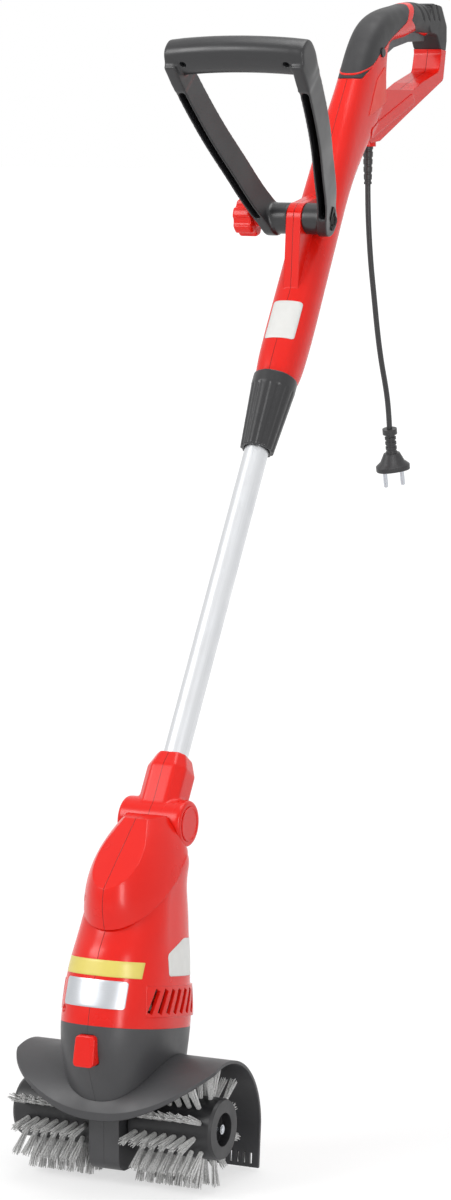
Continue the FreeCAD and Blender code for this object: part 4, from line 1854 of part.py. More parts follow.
def build():
    """Every piece of the tool by name."""
    room_outer = head_room(0)
    room_inner = head_room(CASING_WALL)
    casing = motor_housing(room_outer, room_inner)
    gearbox = gearbox_housing(room_outer, room_inner)
    socket = tube_socket()
    form = handle_form(0)
    under_skin = handle_form(GRIP_SKIN)
    front_room = region(FRONT_SKIN_shares).cut(under_skin)
    rear_room = region(REAR_SKIN_shares).cut(under_skin)
    front_skin = form.common(front_room)
    rear_skin = form.common(rear_room)
    handle = handle_housing(form, [front_room, rear_room])
    for skin_cut in trigger_sweep():
        rear_skin = rear_skin.cut(skin_cut)
    lock_hole = cross_bar(LOCK_RADIUS + BODY_GAP, LOCK_BACK, LOCK_HEIGHT, 0, FAR)
    screws = screw_holes(handle_screw_places(), HANDLE_SCREW_SEAT, HANDLE_SCREW_END,
                         HANDLE_SCREW_SHANK, HANDLE_SCREW_HEAD_RADIUS)
    arms = loop_arms()
    grip_front, grip_rear = loop_grips(arms)
    nodes = {
        "motor_housing_left": half_of(casing, 1),
        "motor_housing_right": half_of(casing, -1),
        "gearbox_housing_left": half_of(gearbox, 1),
        "gearbox_housing_right": half_of(gearbox, -1),
        "splash_guard": splash_guard(room_outer),
        "latch_button": latch_button(),
        "latch_spring": latch_spring(),
        "motor_stator": placed(motor_ring(STATOR_RADIUS, STATOR_BORE, STATOR_FROM, STATOR_TO),
                               HEAD_FRAME),
        "field_windings": field_windings(),
        "armature_shaft": armature_shaft(),
        "armature_core": armature_core(),
        "commutator": commutator(),
        "cooling_fan": cooling_fan(),
        "gear_train_bearings": gear_train_bearings(),
        "carbon_brushes": carbon_brushes(),
        "motor_pinion": motor_pinion(),
        "drive_gear": drive_gear(),
        "drive_shaft": drive_shaft(),
        "crown_gear": crown_gear(),
        "brush_shaft": brush_shaft(),
        "brush_shaft_bearings": axle_rings(AXLE_BEARING_RADIUS, AXLE_BEARING_FROM, AXLE_BEARING_TO),
        "shaft_seals": axle_rings(SEAL_RADIUS, AXLE_BEARING_TO, SEAL_TO),
        "roller_core_left": roller_core(1),
        "roller_core_right": roller_core(-1),
        "bristle_tufts_left": bristle_tufts(1),
        "bristle_tufts_right": bristle_tufts(-1),
        "roller_screws": roller_screws(),
        "strip_brush_holder": strip_brush_holder(),
        "strip_bristles": strip_bristles(),
        "strip_screws": strip_screws(),
        "housing_screws": housing_screws(),
        "tube_socket_left": half_of(socket, 1),
        "tube_socket_right": half_of(socket, -1),
        "pivot_pin": placed(up_side_disc(PIN_RADIUS, PIN_HALF), TUBE_FRAME),
        "pivot_caps": pivot_caps(),
        "tube_screw": tube_screw(),
        "tube": tube(),
        "lock_sleeve": lock_sleeve(),
        "clamp_collet": clamp_collet(),
        "handle_housing_left": half_of(handle, 1),
        "handle_housing_right": half_of(handle, -1),
        "grip_cover_front": front_skin.cut(lock_hole).cut(screws),
        "grip_cover_rear": rear_skin.cut(screws),
        "handle_screws": group(cross_screws(handle_screw_places(), HANDLE_SCREW_SEAT,
                                            HANDLE_SCREW_END, HANDLE_SCREW_SHANK,
                                            HANDLE_SCREW_HEAD_RADIUS, HANDLE_SCREW_HEAD_HEIGHT)),
        "trigger": trigger(),
        "trigger_pin": cross_bar(TRIGGER_PIN_RADIUS, TRIGGER_PIN_AT, TRIGGER_PIN_HEIGHT,
                                 -TRIGGER_PIN_HALF, TRIGGER_PIN_HALF),
        "trigger_spring": trigger_spring(),
        "power_switch": power_switch(0),
        "lock_off_button": lock_off_button(),
        "lock_off_spring": lock_off_spring(),
        "cord_gland": cord_gland(),
        "loop_arms": arms,
        "loop_grip_front": grip_front,
        "loop_grip_rear": grip_rear,
        "loop_screws": loop_screws(),
        "handle_bolt": handle_bolt(),
        "star_knob": star_knob(),
        "power_cord": power_cord(),
        "plug_body": plug_body(),
        "plug_pins": plug_pins(),
    }
    return nodes


def main():
    """Writes one file per node, the origin under the middle of the tool without its lead."""
    os.makedirs("parts", exist_ok=True)
    nodes = build()
    lead = ("power_cord", "plug_body", "plug_pins")
    whole = Part.makeCompound([shape for name, shape in nodes.items() if name not in lead])
    box = whole.optimalBoundingBox(True)
    shift = Vector(-(box.XMin + box.XMax) / 2, -(box.YMin + box.YMax) / 2, -box.ZMin)
    print("shift %.6f %.6f %.6f" % (shift.x, shift.y, shift.z))
    print("size %.1f %.1f %.1f" % (box.XLength, box.YLength, box.ZLength))
    for name, shape in nodes.items():
        moved = shape.copy()
        moved.translate(shift)
        moved.exportStep(os.path.join("parts", name + ".step"))
        print("%-24s solids %d valid %s volume %.0f" % (name, len(moved.Solids), moved.isValid(),
                                                       moved.Volume))


if __name__ == "__main__":
    main()
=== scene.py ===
import json
import logging
import math
import random
from contextlib import contextmanager
from dataclasses import dataclass, replace
from enum import Enum
from typing import Iterator, Mapping, Sequence

import bpy
from mathutils import Matrix, Vector


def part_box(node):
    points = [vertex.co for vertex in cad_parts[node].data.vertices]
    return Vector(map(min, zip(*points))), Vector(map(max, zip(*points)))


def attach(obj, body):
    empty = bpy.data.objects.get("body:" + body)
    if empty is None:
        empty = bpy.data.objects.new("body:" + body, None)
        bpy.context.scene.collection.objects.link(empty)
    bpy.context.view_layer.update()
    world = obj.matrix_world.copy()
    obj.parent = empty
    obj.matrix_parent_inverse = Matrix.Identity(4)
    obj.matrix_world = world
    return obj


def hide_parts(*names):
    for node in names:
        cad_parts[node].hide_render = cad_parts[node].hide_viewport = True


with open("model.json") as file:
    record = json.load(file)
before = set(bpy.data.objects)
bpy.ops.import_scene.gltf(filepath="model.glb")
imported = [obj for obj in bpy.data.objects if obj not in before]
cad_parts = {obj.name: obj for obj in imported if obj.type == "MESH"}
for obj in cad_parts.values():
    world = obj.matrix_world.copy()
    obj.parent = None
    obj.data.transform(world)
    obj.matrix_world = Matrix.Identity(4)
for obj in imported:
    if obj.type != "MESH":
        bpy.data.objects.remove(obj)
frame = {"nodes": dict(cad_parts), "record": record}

MM = 0.001
LOG = logging.getLogger("patio_cleaner")
Piece = bpy.types.Object
Tree = bpy.types.NodeTree
Socket = bpy.types.NodeSocket
# a finish's colour and its surface normal
Look = tuple[Socket, Socket]


def middle(node: str) -> Vector:
    """Returns the middle of a frame node's box, in metres."""
    low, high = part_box(node)
    return (low + high) / 2


# The tool's own reference: the roller axle's middle, 60 mm above the ground
AXLE = middle("brush_shaft")
AXLE_HEIGHT_MM = 60.0
PIVOT_BACK_MM = 73.5
PIVOT_HEIGHT_MM = 339.0
TUBE_LEAN = math.radians(32.9)
HEAD_LEAN = math.radians(10.5)
LOOP_BACK_MM = 398.978
LOOP_HEIGHT_MM = 913.914
LOOP_LEAN = math.radians(41.0)


def spot(across: float, back: float, height: float) -> Vector:
    """Turns millimetres in the tool's own frame into metres in the scene.

    They are the distances to the user's left of the middle, behind the roller axle and above the
    ground.
    """
    return AXLE + Vector((across, back, height - AXLE_HEIGHT_MM)) * MM


def in_tool_mm(place: Vector) -> Vector:
    """Turns a place in the scene into millimetres in the tool's own frame."""
    return (place - AXLE) / MM + Vector((0, 0, AXLE_HEIGHT_MM))


def head_frame() -> Matrix:
    """Returns the frame of the motor head: Z up its drive shaft, from the roller axle."""
    return Matrix.Translation(spot(0, 0, AXLE_HEIGHT_MM)) @ Matrix.Rotation(-HEAD_LEAN, 4, "X")


def tube_frame() -> Matrix:
    """Returns the frame of the tube: Z up its axis, Y square to it towards the user."""
    return (Matrix.Translation(spot(0, PIVOT_BACK_MM, PIVOT_HEIGHT_MM))
            @ Matrix.Rotation(-TUBE_LEAN, 4, "X"))


def loop_frame() -> Matrix:
    """Returns the frame of the front loop handle, at its bolt."""
    return (Matrix.Translation(spot(0, LOOP_BACK_MM, LOOP_HEIGHT_MM))
            @ Matrix.Rotation(LOOP_LEAN, 4, "X"))


# Materials
# the Mix node's colour sockets, which share their names with its other sockets
MIX_FACTOR, MIX_A, MIX_B, MIX_COLOUR = 0, 6, 7, 2
# a noise texture's values lie mostly between these
NOISE_LOW, NOISE_HIGH = 0.3, 0.7
EDGE_SAMPLES = 6


def linear(colour: str) -> tuple[float, ...]:
    """Turns an sRGB hex value into linear red, green and blue, with an alpha of 1."""
    parts = []
    for value in bytes.fromhex(colour):
        share = value / 255
        # the sRGB standard's own curve
        parts.append(share / 12.92 if share <= 0.04045 else ((share + 0.055) / 1.055) ** 2.4)
    return (*parts, 1.0)


def add_node(tree: Tree, kind: str, settings: Mapping[str, object] | None = None,
             values: Mapping[int | str, object] | None = None,
             links: Mapping[int | str, Socket] | None = None) -> bpy.types.Node:
    """Adds one shader node.

    Args:
        tree: the material's tree.
        kind: the node's type name.
        settings: the node's own properties.
        values: constants for its input sockets.
        links: output sockets that feed its input sockets.

    Returns:
        The new node.
    """
    node = tree.nodes.new(kind)
    for key, value in (settings or {}).items():
        setattr(node, key, value)
    for key, value in (values or {}).items():
        node.inputs[key].default_value = value
    for key, source in (links or {}).items():
        tree.links.new(source, node.inputs[key])
    return node


def noise(tree: Tree, place: Socket, size_mm: float, detail: float) -> Socket:
    """Returns soft noise whose features are about this many millimetres wide."""
    return add_node(tree, "ShaderNodeTexNoise", values={"Scale": 1 / (size_mm * MM), "Detail": detail},
                    links={"Vector": place}).outputs["Fac"]


def mixed(tree: Tree, values: Mapping[int, object], links: Mapping[int, Socket],
          kind: str = "MIX") -> Socket:
    """Returns a mix of two colours, its sockets given by the MIX numbers."""
    return add_node(tree, "ShaderNodeMix", {"data_type": "RGBA", "blend_type": kind}, values,
                    links).outputs[MIX_COLOUR]


def bumped(tree: Tree, height: Socket, strength: float, depth_mm: float,
           normal: Socket | None = None) -> Socket:
    """Returns a surface normal that follows a height, on top of another normal if one is given."""
    links = {"Height": height, "Normal": normal} if normal else {"Height": height}
    return add_node(tree, "ShaderNodeBump", values={"Strength": strength, "Distance": depth_mm * MM},
                    links=links).outputs["Normal"]


def spanned(tree: Tree, value: Socket, low: float, high: float, to_low: float,
            to_high: float) -> Socket:
    """Returns a value moved from one span to another and kept inside it."""
    span = {"From Min": low, "From Max": high, "To Min": to_low, "To Max": to_high}
    return add_node(tree, "ShaderNodeMapRange", values=span, links={"Value": value}).outputs["Result"]


@dataclass(frozen=True)
class Finish:
    """A surface finish with its common name and its base look.

    Colour runs between two tones in soft clouds, and so does the roughness.
    """
    name: str
    colour: str
    shade: str
    roughness: float
    spread: float
    cloud_mm: float
    ior: float = 1.5
    soft_edge_mm: float = 0.8
    shine: float = 0.5
    cloud_detail: float = 4.0

    def material(self) -> bpy.types.Material:
        """Returns the finish's material, made on first use."""
        return bpy.data.materials.get(self.name) or self.make()

    def make(self) -> bpy.types.Material:
        """Makes the material, which reads only its piece's own coordinates."""
        made = bpy.data.materials.new(self.name)
        made.use_nodes = True
        tree = made.node_tree
        shader = tree.nodes["Principled BSDF"]
        shader.inputs["IOR"].default_value = self.ior
        shader.inputs["Specular IOR Level"].default_value = self.shine
        place = add_node(tree, "ShaderNodeTexCoord").outputs["Object"]
        cloud = noise(tree, place, self.cloud_mm, self.cloud_detail)
        tone = mixed(tree, {MIX_A: linear(self.colour), MIX_B: linear(self.shade)}, {MIX_FACTOR: cloud})
        rough = spanned(tree, cloud, NOISE_LOW, NOISE_HIGH, self.roughness - self.spread,
                        self.roughness + self.spread)
        tree.links.new(rough, shader.inputs["Roughness"])
        tone, normal = self.detail(tree, shader, place, tone)
        tree.links.new(tone, shader.inputs["Base Color"])
        tree.links.new(normal, shader.inputs["Normal"])
        return made

    def soft_edge(self, tree: Tree) -> Socket:
        """Returns a normal that rounds each moulded edge, as a real mould's edges are."""
        return add_node(tree, "ShaderNodeBevel", {"samples": EDGE_SAMPLES},
                        {"Radius": self.soft_edge_mm * MM}).outputs["Normal"]

    def detail(self, tree: Tree, shader: bpy.types.Node, place: Socket, tone: Socket) -> Look:
        """Adds what sets this finish apart.

        Args:
            tree: the material's tree.
            shader: its surface shader.
            place: object coordinates.
            tone: the clouded colour.

        Returns:
            The final colour and the surface normal.
        """
        raise NotImplementedError


@dataclass(frozen=True)
class MouldedPlastic(Finish):
    """Injection-moulded plastic: an even tone with the mould's fine texture.

    A clamshell shows its parting line as a thin dark groove along the middle of the tool.
    """
    grain_mm: float = 1.2
    grain_depth_mm: float = 0.02
    grain_detail: float = 2.0
    grain_strength: float = 0.6
    parting_line: bool = False
    line_half_mm: float = 0.28
    line_colour: str = "3A0B08"

    def detail(self, tree: Tree, shader: bpy.types.Node, place: Socket, tone: Socket) -> Look:
        """Adds the mould texture and the parting line."""
        grain = noise(tree, place, self.grain_mm, self.grain_detail)
        normal = bumped(tree, grain, self.grain_strength, self.grain_depth_mm, self.soft_edge(tree))
        if not self.parting_line:
            return tone, normal
        across = add_node(tree, "ShaderNodeSeparateXYZ", links={0: place}).outputs["X"]
        off = add_node(tree, "ShaderNodeMath", {"operation": "ABSOLUTE"}, links={0: across}).outputs[0]
        half = self.line_half_mm * MM
        line = spanned(tree, off, half / 2, half, 1.0, 0.0)
        return mixed(tree, {MIX_B: linear(self.line_colour)}, {MIX_FACTOR: line, MIX_A: tone}), normal


@dataclass(frozen=True)
class BrushedMetal(Finish):
    """Drawn, turned or brushed metal: fine lines along the way it was worked."""
    line_mm: float = 0.5
    line_length_mm: float = 60.0
    line_depth_mm: float = 0.01
    line_detail: float = 3.0
    line_strength: float = 0.5
    streaks: float = 0.16
    lean: float = 0.0

    def detail(self, tree: Tree, shader: bpy.types.Node, place: Socket, tone: Socket) -> Look:
        """Adds the long fine lines."""
        shader.inputs["Metallic"].default_value = 1.0
        width = self.line_mm * MM
        along = add_node(tree, "ShaderNodeMapping", {"vector_type": "TEXTURE"},
                         {"Rotation": (-self.lean, 0.0, 0.0),
                          "Scale": (width, width, self.line_length_mm * MM)}, {"Vector": place})
        lines = add_node(tree, "ShaderNodeTexNoise", values={"Scale": 1.0, "Detail": self.line_detail},
                         links={"Vector": along.outputs["Vector"]}).outputs["Fac"]
        worn = mixed(tree, {MIX_FACTOR: self.streaks}, {MIX_A: tone, MIX_B: lines}, "MULTIPLY")
        return worn, bumped(tree, lines, self.line_strength, self.line_depth_mm)


@dataclass(frozen=True)
class SoftMoulding(Finish):
    """Rubber or soft grip: dull, with a fine spark-eroded texture that scatters light."""
    grain_mm: float = 0.7
    grain_depth_mm: float = 0.05
    grain_strength: float = 0.7
    sheen: float = 0.15
    sheen_roughness: float = 0.6

    def detail(self, tree: Tree, shader: bpy.types.Node, place: Socket, tone: Socket) -> Look:
        """Adds the fine cells of the mould's texture."""
        shader.inputs["Sheen Weight"].default_value = self.sheen
        shader.inputs["Sheen Roughness"].default_value = self.sheen_roughness
        cells = add_node(tree, "ShaderNodeTexVoronoi", values={"Scale": 1 / (self.grain_mm * MM)},
                         links={"Vector": place}).outputs["Distance"]
        return tone, bumped(tree, cells, self.grain_strength, self.grain_depth_mm, self.soft_edge(tree))


@dataclass(frozen=True)
class NylonFilament(Finish):
    """Extruded nylon bristle: pale, a little glossy, each strand a slightly different grey."""
    strand_mm: float = 1.4
    strand_detail: float = 1.0
    dark: str = "858585"
    dark_from: float = 0.45
    dark_to: float = 0.70
    dark_share: float = 0.6
    groove_strength: float = 0.3
    groove_depth_mm: float = 0.02

    def detail(self, tree: Tree, shader: bpy.types.Node, place: Socket, tone: Socket) -> Look:
        """Adds the change of tone from strand to strand."""
        strand = noise(tree, place, self.strand_mm, self.strand_detail)
        pick = spanned(tree, strand, self.dark_from, self.dark_to, 0.0, self.dark_share)
        tinted = mixed(tree, {MIX_B: linear(self.dark)}, {MIX_FACTOR: pick, MIX_A: tone})
        return tinted, bumped(tree, strand, self.groove_strength, self.groove_depth_mm)


# Each finish gives its two tones, its roughness and how far that strays, its clouds' width and its IOR.
# polished ABS: a clean gloss with a hint of orange peel
RED_ABS = MouldedPlastic("red_abs_moulded", "E81E12", "DE180E", 0.24, 0.04, 35, 1.54,
                         soft_edge_mm=1.2, shine=0.3, grain_mm=2.5, grain_depth_mm=0.012)
# the same on a clamshell
RED_ABS_SHELL = replace(RED_ABS, name="red_abs_clamshell", parting_line=True)
# the same from a spark-eroded mould: duller, and its base colour painted paler as a painted sheen of the
# dull surface
RED_ABS_MATT_PAINTED_SHEEN = MouldedPlastic("red_abs_spark_eroded_painted_sheen", "EC544A", "E64A40", 0.58, 0.05, 20, 1.54,
                              soft_edge_mm=0.6, grain_mm=0.8, grain_depth_mm=0.04)
# glass-filled nylon, satin
GREY_NYLON = MouldedPlastic("dark_nylon_moulded", "3D3D3F", "343436", 0.46, 0.06, 30, 1.53,
                            grain_mm=0.9, grain_depth_mm=0.04)
GREY_NYLON_SHELL = replace(GREY_NYLON, name="dark_nylon_clamshell", roughness=0.44, parting_line=True,
                           line_colour="121212")
# the same nylon from a polished mould, on the front handle
HANDLE_NYLON = MouldedPlastic("dark_nylon_polished", "222224", "1D1D1F", 0.34, 0.05, 30, 1.53,
                              grain_mm=1.5, grain_depth_mm=0.02)
# polypropylene, with a low sheen
BLACK_PP = MouldedPlastic("black_polypropylene", "1B1B1D", "242426", 0.42, 0.08, 18, 1.49,
                          grain_mm=0.8, grain_depth_mm=0.03)
# the same polypropylene, near black: painted shade for a deep recess that light hardly reaches
RECESS_PAINTED_SHADE = MouldedPlastic("black_film_painted_recess_shade", "060607", "0A0A0B", 0.60, 0.05, 18, 1.49,
                              soft_edge_mm=0.3, shine=0.3, grain_mm=0.8, grain_depth_mm=0.02)
TRIGGER_NYLON = MouldedPlastic("grey_nylon_moulded", "47484B", "3C3D40", 0.40, 0.05, 12, 1.53,
                               grain_mm=0.8, grain_depth_mm=0.03)
# unfilled nylon of the gear, fan and collet
NATURAL_NYLON = MouldedPlastic("natural_nylon", "D9D5C6", "C9C3B2", 0.38, 0.05, 9, 1.53,
                               grain_mm=1.0, grain_depth_mm=0.02)
# dull, with a crumbly grain
PRESSED_CARBON = MouldedPlastic("pressed_carbon", "17181A", "26282B", 0.62, 0.06, 3, 1.6,
                                grain_mm=0.4, grain_depth_mm=0.05)
# the grip covers: matt, with a faint sheen
GRIP_RUBBER = SoftMoulding("thermoplastic_rubber_grip", "1F1F21", "19191B", 0.60, 0.06, 14, sheen=0.06)
# lead and plug: smooth, slightly waxy
LEAD_PVC = SoftMoulding("flexible_pvc_lead", "1D1D1F", "262628", 0.44, 0.05, 10, 1.53,
                        grain_mm=1.2, grain_depth_mm=0.02, sheen=0.05)
# the lines run up the tube
DRAWN_ALUMINIUM = BrushedMetal("satin_anodised_aluminium", "E6E7E9", "D6D8DB", 0.33, 0.05, 22,
                               line_mm=0.7, line_length_mm=90, lean=TUBE_LEAN)
# shafts and pins, turned: the lines run round them
GROUND_STEEL = BrushedMetal("ground_steel", "B9BBBE", "A5A7AA", 0.26, 0.06, 8,
                            line_mm=6.0, line_length_mm=0.5)
# screws: bright, with a cool cast
ZINC_STEEL = BrushedMetal("zinc_plated_steel", "D2D4D8", "B7BCC4", 0.24, 0.07, 3,
                          line_mm=0.5, line_length_mm=2.0)
# sunk screws: phosphated steel painted nearly black, as painted shade of the holes they sit in
DARK_STEEL_HOLE_SHADE = BrushedMetal("phosphated_steel_painted_hole_shade", "2B2C2E", "1F2022", 0.48, 0.06, 3,
                          line_mm=0.5, line_length_mm=2.0)
# each sheet's edge is a fine line
LAMINATED_IRON = BrushedMetal("laminated_electrical_steel", "77797C", "5E6063", 0.42, 0.06, 6,
                              line_mm=40.0, line_length_mm=0.6, line_depth_mm=0.08, lean=HEAD_LEAN)
# strands drawn coarser than they are
ENAMELLED_COPPER = BrushedMetal("enamelled_copper", "B0683A", "8F4C26", 0.32, 0.08, 4,
                                line_mm=0.6, line_length_mm=9.0, line_depth_mm=0.1)
BRISTLE_NYLON = NylonFilament("nylon_bristle", "E3E3E2", "C9C9C8", 0.34, 0.06, 7, 1.53)
# label films and foil, without any print
YELLOW_FILM = MouldedPlastic("plain_yellow_polyester_film", "E5D46A", "DAC85C", 0.34, 0.03, 10, 1.6,
                             grain_mm=2.0, grain_depth_mm=0.01)
SILVER_FOIL = BrushedMetal("plain_brushed_foil", "CFD1D4", "BCC0C5", 0.36, 0.05, 9,
                           line_mm=9.0, line_length_mm=0.35)
WHITE_FILM = MouldedPlastic("plain_white_polyester_film", "E4E4E1", "D8D8D5", 0.38, 0.03, 10, 1.6,
                            grain_mm=2.0, grain_depth_mm=0.01)

SLOT_FINISHES: Mapping[str, Finish] = {
    "red_plastic": RED_ABS, "dark_plastic": GREY_NYLON, "soft_grip": GRIP_RUBBER,
    "grey_plastic": TRIGGER_NYLON, "aluminium": DRAWN_ALUMINIUM, "steel": GROUND_STEEL,
    "plated_steel": ZINC_STEEL, "iron_core": LAMINATED_IRON, "copper": ENAMELLED_COPPER,
    "carbon": PRESSED_CARBON, "nylon_gear": NATURAL_NYLON, "black_plastic": BLACK_PP,
    "black_rubber": LEAD_PVC, "bristle": BRISTLE_NYLON,
}
# nodes whose finish differs from the rest of their slot
OWN_FINISHES: Mapping[str, Finish] = {
    # loop and handle screws and the bolt are painted nearly black: painted shade of their holes
    "loop_screws": DARK_STEEL_HOLE_SHADE, "handle_screws": DARK_STEEL_HOLE_SHADE, "handle_bolt": DARK_STEEL_HOLE_SHADE,
}
CLAMSHELLS: Mapping[str, Finish] = {
    "motor_housing": RED_ABS_SHELL, "handle_housing": RED_ABS_SHELL, "tube_socket": RED_ABS_SHELL,
    "gearbox_housing": GREY_NYLON_SHELL,
}


# Modelling
SAME_PLACE_MM = 0.002
# edges of strands and rims stay sharp only above this
ROUND_DEGREES = 60.0
GOLDEN_ANGLE = math.pi * (3 - math.sqrt(5))


def deselect_all() -> None:
    """Clears the selection, so that an operator acts on one piece alone."""
    bpy.ops.object.select_all(action="DESELECT")


def take(piece: Piece) -> None:
    """Makes this the only selected piece and the active one."""
    deselect_all()
    piece.select_set(True)
    bpy.context.view_layer.objects.active = piece


def newest() -> Piece:
    """Returns the piece that the last operator made."""
    return bpy.context.view_layer.objects.active


@contextmanager
def edited(piece: Piece) -> Iterator[None]:
    """Opens a piece's whole mesh for editing, and closes it again."""
    take(piece)
    bpy.ops.object.mode_set(mode="EDIT")
    select_mesh()
    yield
    bpy.ops.object.mode_set(mode="OBJECT")


def select_mesh() -> None:
    """Selects the whole of the mesh that is being edited."""
    bpy.ops.mesh.select_all(action="SELECT")


def apply_modifiers(piece: Piece) -> None:
    """Applies every modifier of a piece, in order."""
    take(piece)
    for modifier in list(piece.modifiers):
        bpy.ops.object.modifier_apply(modifier=modifier.name)


def join(pieces: Sequence[Piece], name: str) -> Piece:
    """Joins several pieces into one of the given name, and returns it."""
    take(pieces[0])
    for piece in pieces:
        piece.select_set(True)
    bpy.ops.object.join()
    pieces[0].name = name
    return pieces[0]


def copy_of(piece: Piece, place: Matrix) -> Piece:
    """Copies a piece with its own mesh and moves the copy's mesh to its place."""
    copy = piece.copy()
    copy.data = piece.data.copy()
    copy.parent = None
    copy.matrix_world = Matrix.Identity(4)
    copy.data.transform(place)
    bpy.context.scene.collection.objects.link(copy)
    copy.hide_viewport = False
    copy.hide_render = False
    copy.hide_set(False)
    return copy


def copy_of_nodes(nodes: Sequence[str], name: str) -> Piece:
    """Copies frame nodes into one merged piece that can be shaped further.

    Its doubled vertices are merged.
    """
    copies = [copy_of(frame["nodes"][node], Matrix.Identity(4)) for node in nodes]
    piece = join(copies, name) if len(copies) > 1 else copies[0]
    piece.name = name
    for key in list(piece.keys()):
        del piece[key]
    with edited(piece):
        bpy.ops.mesh.remove_doubles(threshold=SAME_PLACE_MM * MM)
    return piece


def even_mesh(piece: Piece, voxel: float) -> None:
    """Gives a piece one even skin of cells of the given size, in millimetres."""
    remesh = piece.modifiers.new("even_mesh", "REMESH")
    remesh.mode = "VOXEL"
    remesh.voxel_size = voxel * MM
    apply_modifiers(piece)


def swell(piece: Piece, distance: float) -> None:
    """Moves a piece's skin outwards, or inwards where the distance is negative, in millimetres."""
    displace = piece.modifiers.new("swell", "DISPLACE")
    displace.strength = distance * MM
    displace.mid_level = 0.0
    apply_modifiers(piece)


def calm(piece: Piece, rounds: int, group: str = "") -> None:
    """Smooths a piece's mesh, or a group of its vertices, the given number of times."""
    smooth = piece.modifiers.new("round_edges", "SMOOTH")
    smooth.factor = 0.5
    smooth.iterations = rounds
    smooth.vertex_group = group
    apply_modifiers(piece)


def soften(piece: Piece, voxel: float, rounds: int, close: float = 0.0) -> None:
    """Rounds a piece's edges: an even mesh first, then a light smoothing.

    Args:
        piece: a closed piece, changed in place.
        voxel: the even mesh's cell, in millimetres.
        rounds: how often it is smoothed.
        close: slits narrower than twice this are filled, in millimetres.
    """
    even_mesh(piece, voxel)
    if close:
        swell(piece, close)
        even_mesh(piece, voxel)
        calm(piece, rounds)
        swell(piece, -close)
        return
    calm(piece, rounds)


def settle(piece: Piece, name: str, finish: Finish, body: str, replaces: Sequence[str] = (),
           sharp_degrees: float = 40.0) -> None:
    """Finishes a piece: its place goes into its mesh, and it is dressed and carried.

    Args:
        piece: the piece, in place.
        name: its name.
        finish: its surface.
        body: the moving body that carries it.
        replaces: frame nodes that it stands for.
        sharp_degrees: edges sharper than this stay sharp.
    """
    take(piece)
    bpy.ops.object.transform_apply(location=True, rotation=True, scale=True)
    bpy.ops.object.shade_smooth_by_angle(angle=math.radians(sharp_degrees))
    piece.name = name
    piece.data.name = name
    piece.data.materials.clear()
    piece.data.materials.append(finish.material())
    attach(piece, body)
    if replaces:
        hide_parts(*replaces)
    LOG.info("%s: %d faces, on %s", name, len(piece.data.polygons), body)


class Frame:
    """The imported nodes, dressed in the finish of their material slots."""

    def dress(self) -> None:
        """Gives every node its finish."""
        slots = {part["node"]: part["material_slot"] for part in frame["record"]["subparts"]}
        for name, node in frame["nodes"].items():
            shell = name.rsplit("_", 1)[0]
            finish = OWN_FINISHES.get(name) or CLAMSHELLS.get(shell) or SLOT_FINISHES[slots[name]]
            node.data.materials.clear()
            node.data.materials.append(finish.material())
        LOG.info("dressed %d nodes", len(frame["nodes"]))


@dataclass
class BristleBundle:
    """A tuft of nylon strands that stand together at the root and splay at the tip."""
    strands: int
    strand_radius: float
    length: float
    root_radius: float
    splay_radius: float
    bend: float
    sides: int = 4
    joints: int = 3
    # the tip's width as a share of the root's, and the lean of each pattern as a share of the bend
    taper: float = 0.7
    bend_shares: Sequence[float] = (0.2, 1.0)
    # how far each strand strays in turn, spin, tilt and length
    turn_stray: float = 0.3
    spin_stray: float = 0.9
    tilt_range: tuple[float, float] = (0.65, 1.05)
    length_range: tuple[float, float] = (0.93, 1.0)

    def strand(self, bend: float) -> Piece:
        """Models one strand, drawn up in steps from a small ring.

        Its root is at the origin, and its tip leans over by the bend, in millimetres.
        """
        deselect_all()
        bpy.ops.mesh.primitive_circle_add(vertices=self.sides, radius=self.strand_radius * MM,
                                          fill_type="NGON")
        piece = newest()
        with edited(piece):
            for joint in range(self.joints):
                drift = bend * (2 * joint + 1) / self.joints ** 2
                bpy.ops.mesh.extrude_region_move(TRANSFORM_OT_translate={
                    "value": (drift * MM, 0, self.length / self.joints * MM)})
            bpy.ops.transform.resize(value=(self.taper, self.taper, 1.0))
            select_mesh()
            bpy.ops.mesh.normals_make_consistent(inside=False)
        return piece

    def bundle(self, seed: int) -> Piece:
        """Gathers strands into one tuft.

        It stands up from the origin, and the seed makes each a little different.
        """
        chance = random.Random(seed)
        patterns = [self.strand(self.bend * share) for share in self.bend_shares]
        strands = []
        for i in range(self.strands):
            share = math.sqrt((i + 0.5) / self.strands)
            turn = i * GOLDEN_ANGLE + chance.uniform(-self.turn_stray, self.turn_stray)
            out = Vector((math.cos(turn), math.sin(turn), 0))
            spread = (self.splay_radius - self.root_radius) / self.length
            tilt = spread * share * chance.uniform(*self.tilt_range)
            shorten = Matrix.Diagonal((1, 1, chance.uniform(*self.length_range), 1))
            place = (Matrix.Translation(out * self.root_radius * share * MM)
                     @ Matrix.Rotation(tilt, 4, Vector((-out.y, out.x, 0)))
                     @ Matrix.Rotation(turn + chance.uniform(-self.spin_stray, self.spin_stray), 4, "Z")
                     @ shorten)
            strands.append(copy_of(patterns[i % len(patterns)], place))
        for pattern in patterns:
            bpy.data.objects.remove(pattern)
        return join(strands, "tuft_pattern_%d" % seed)


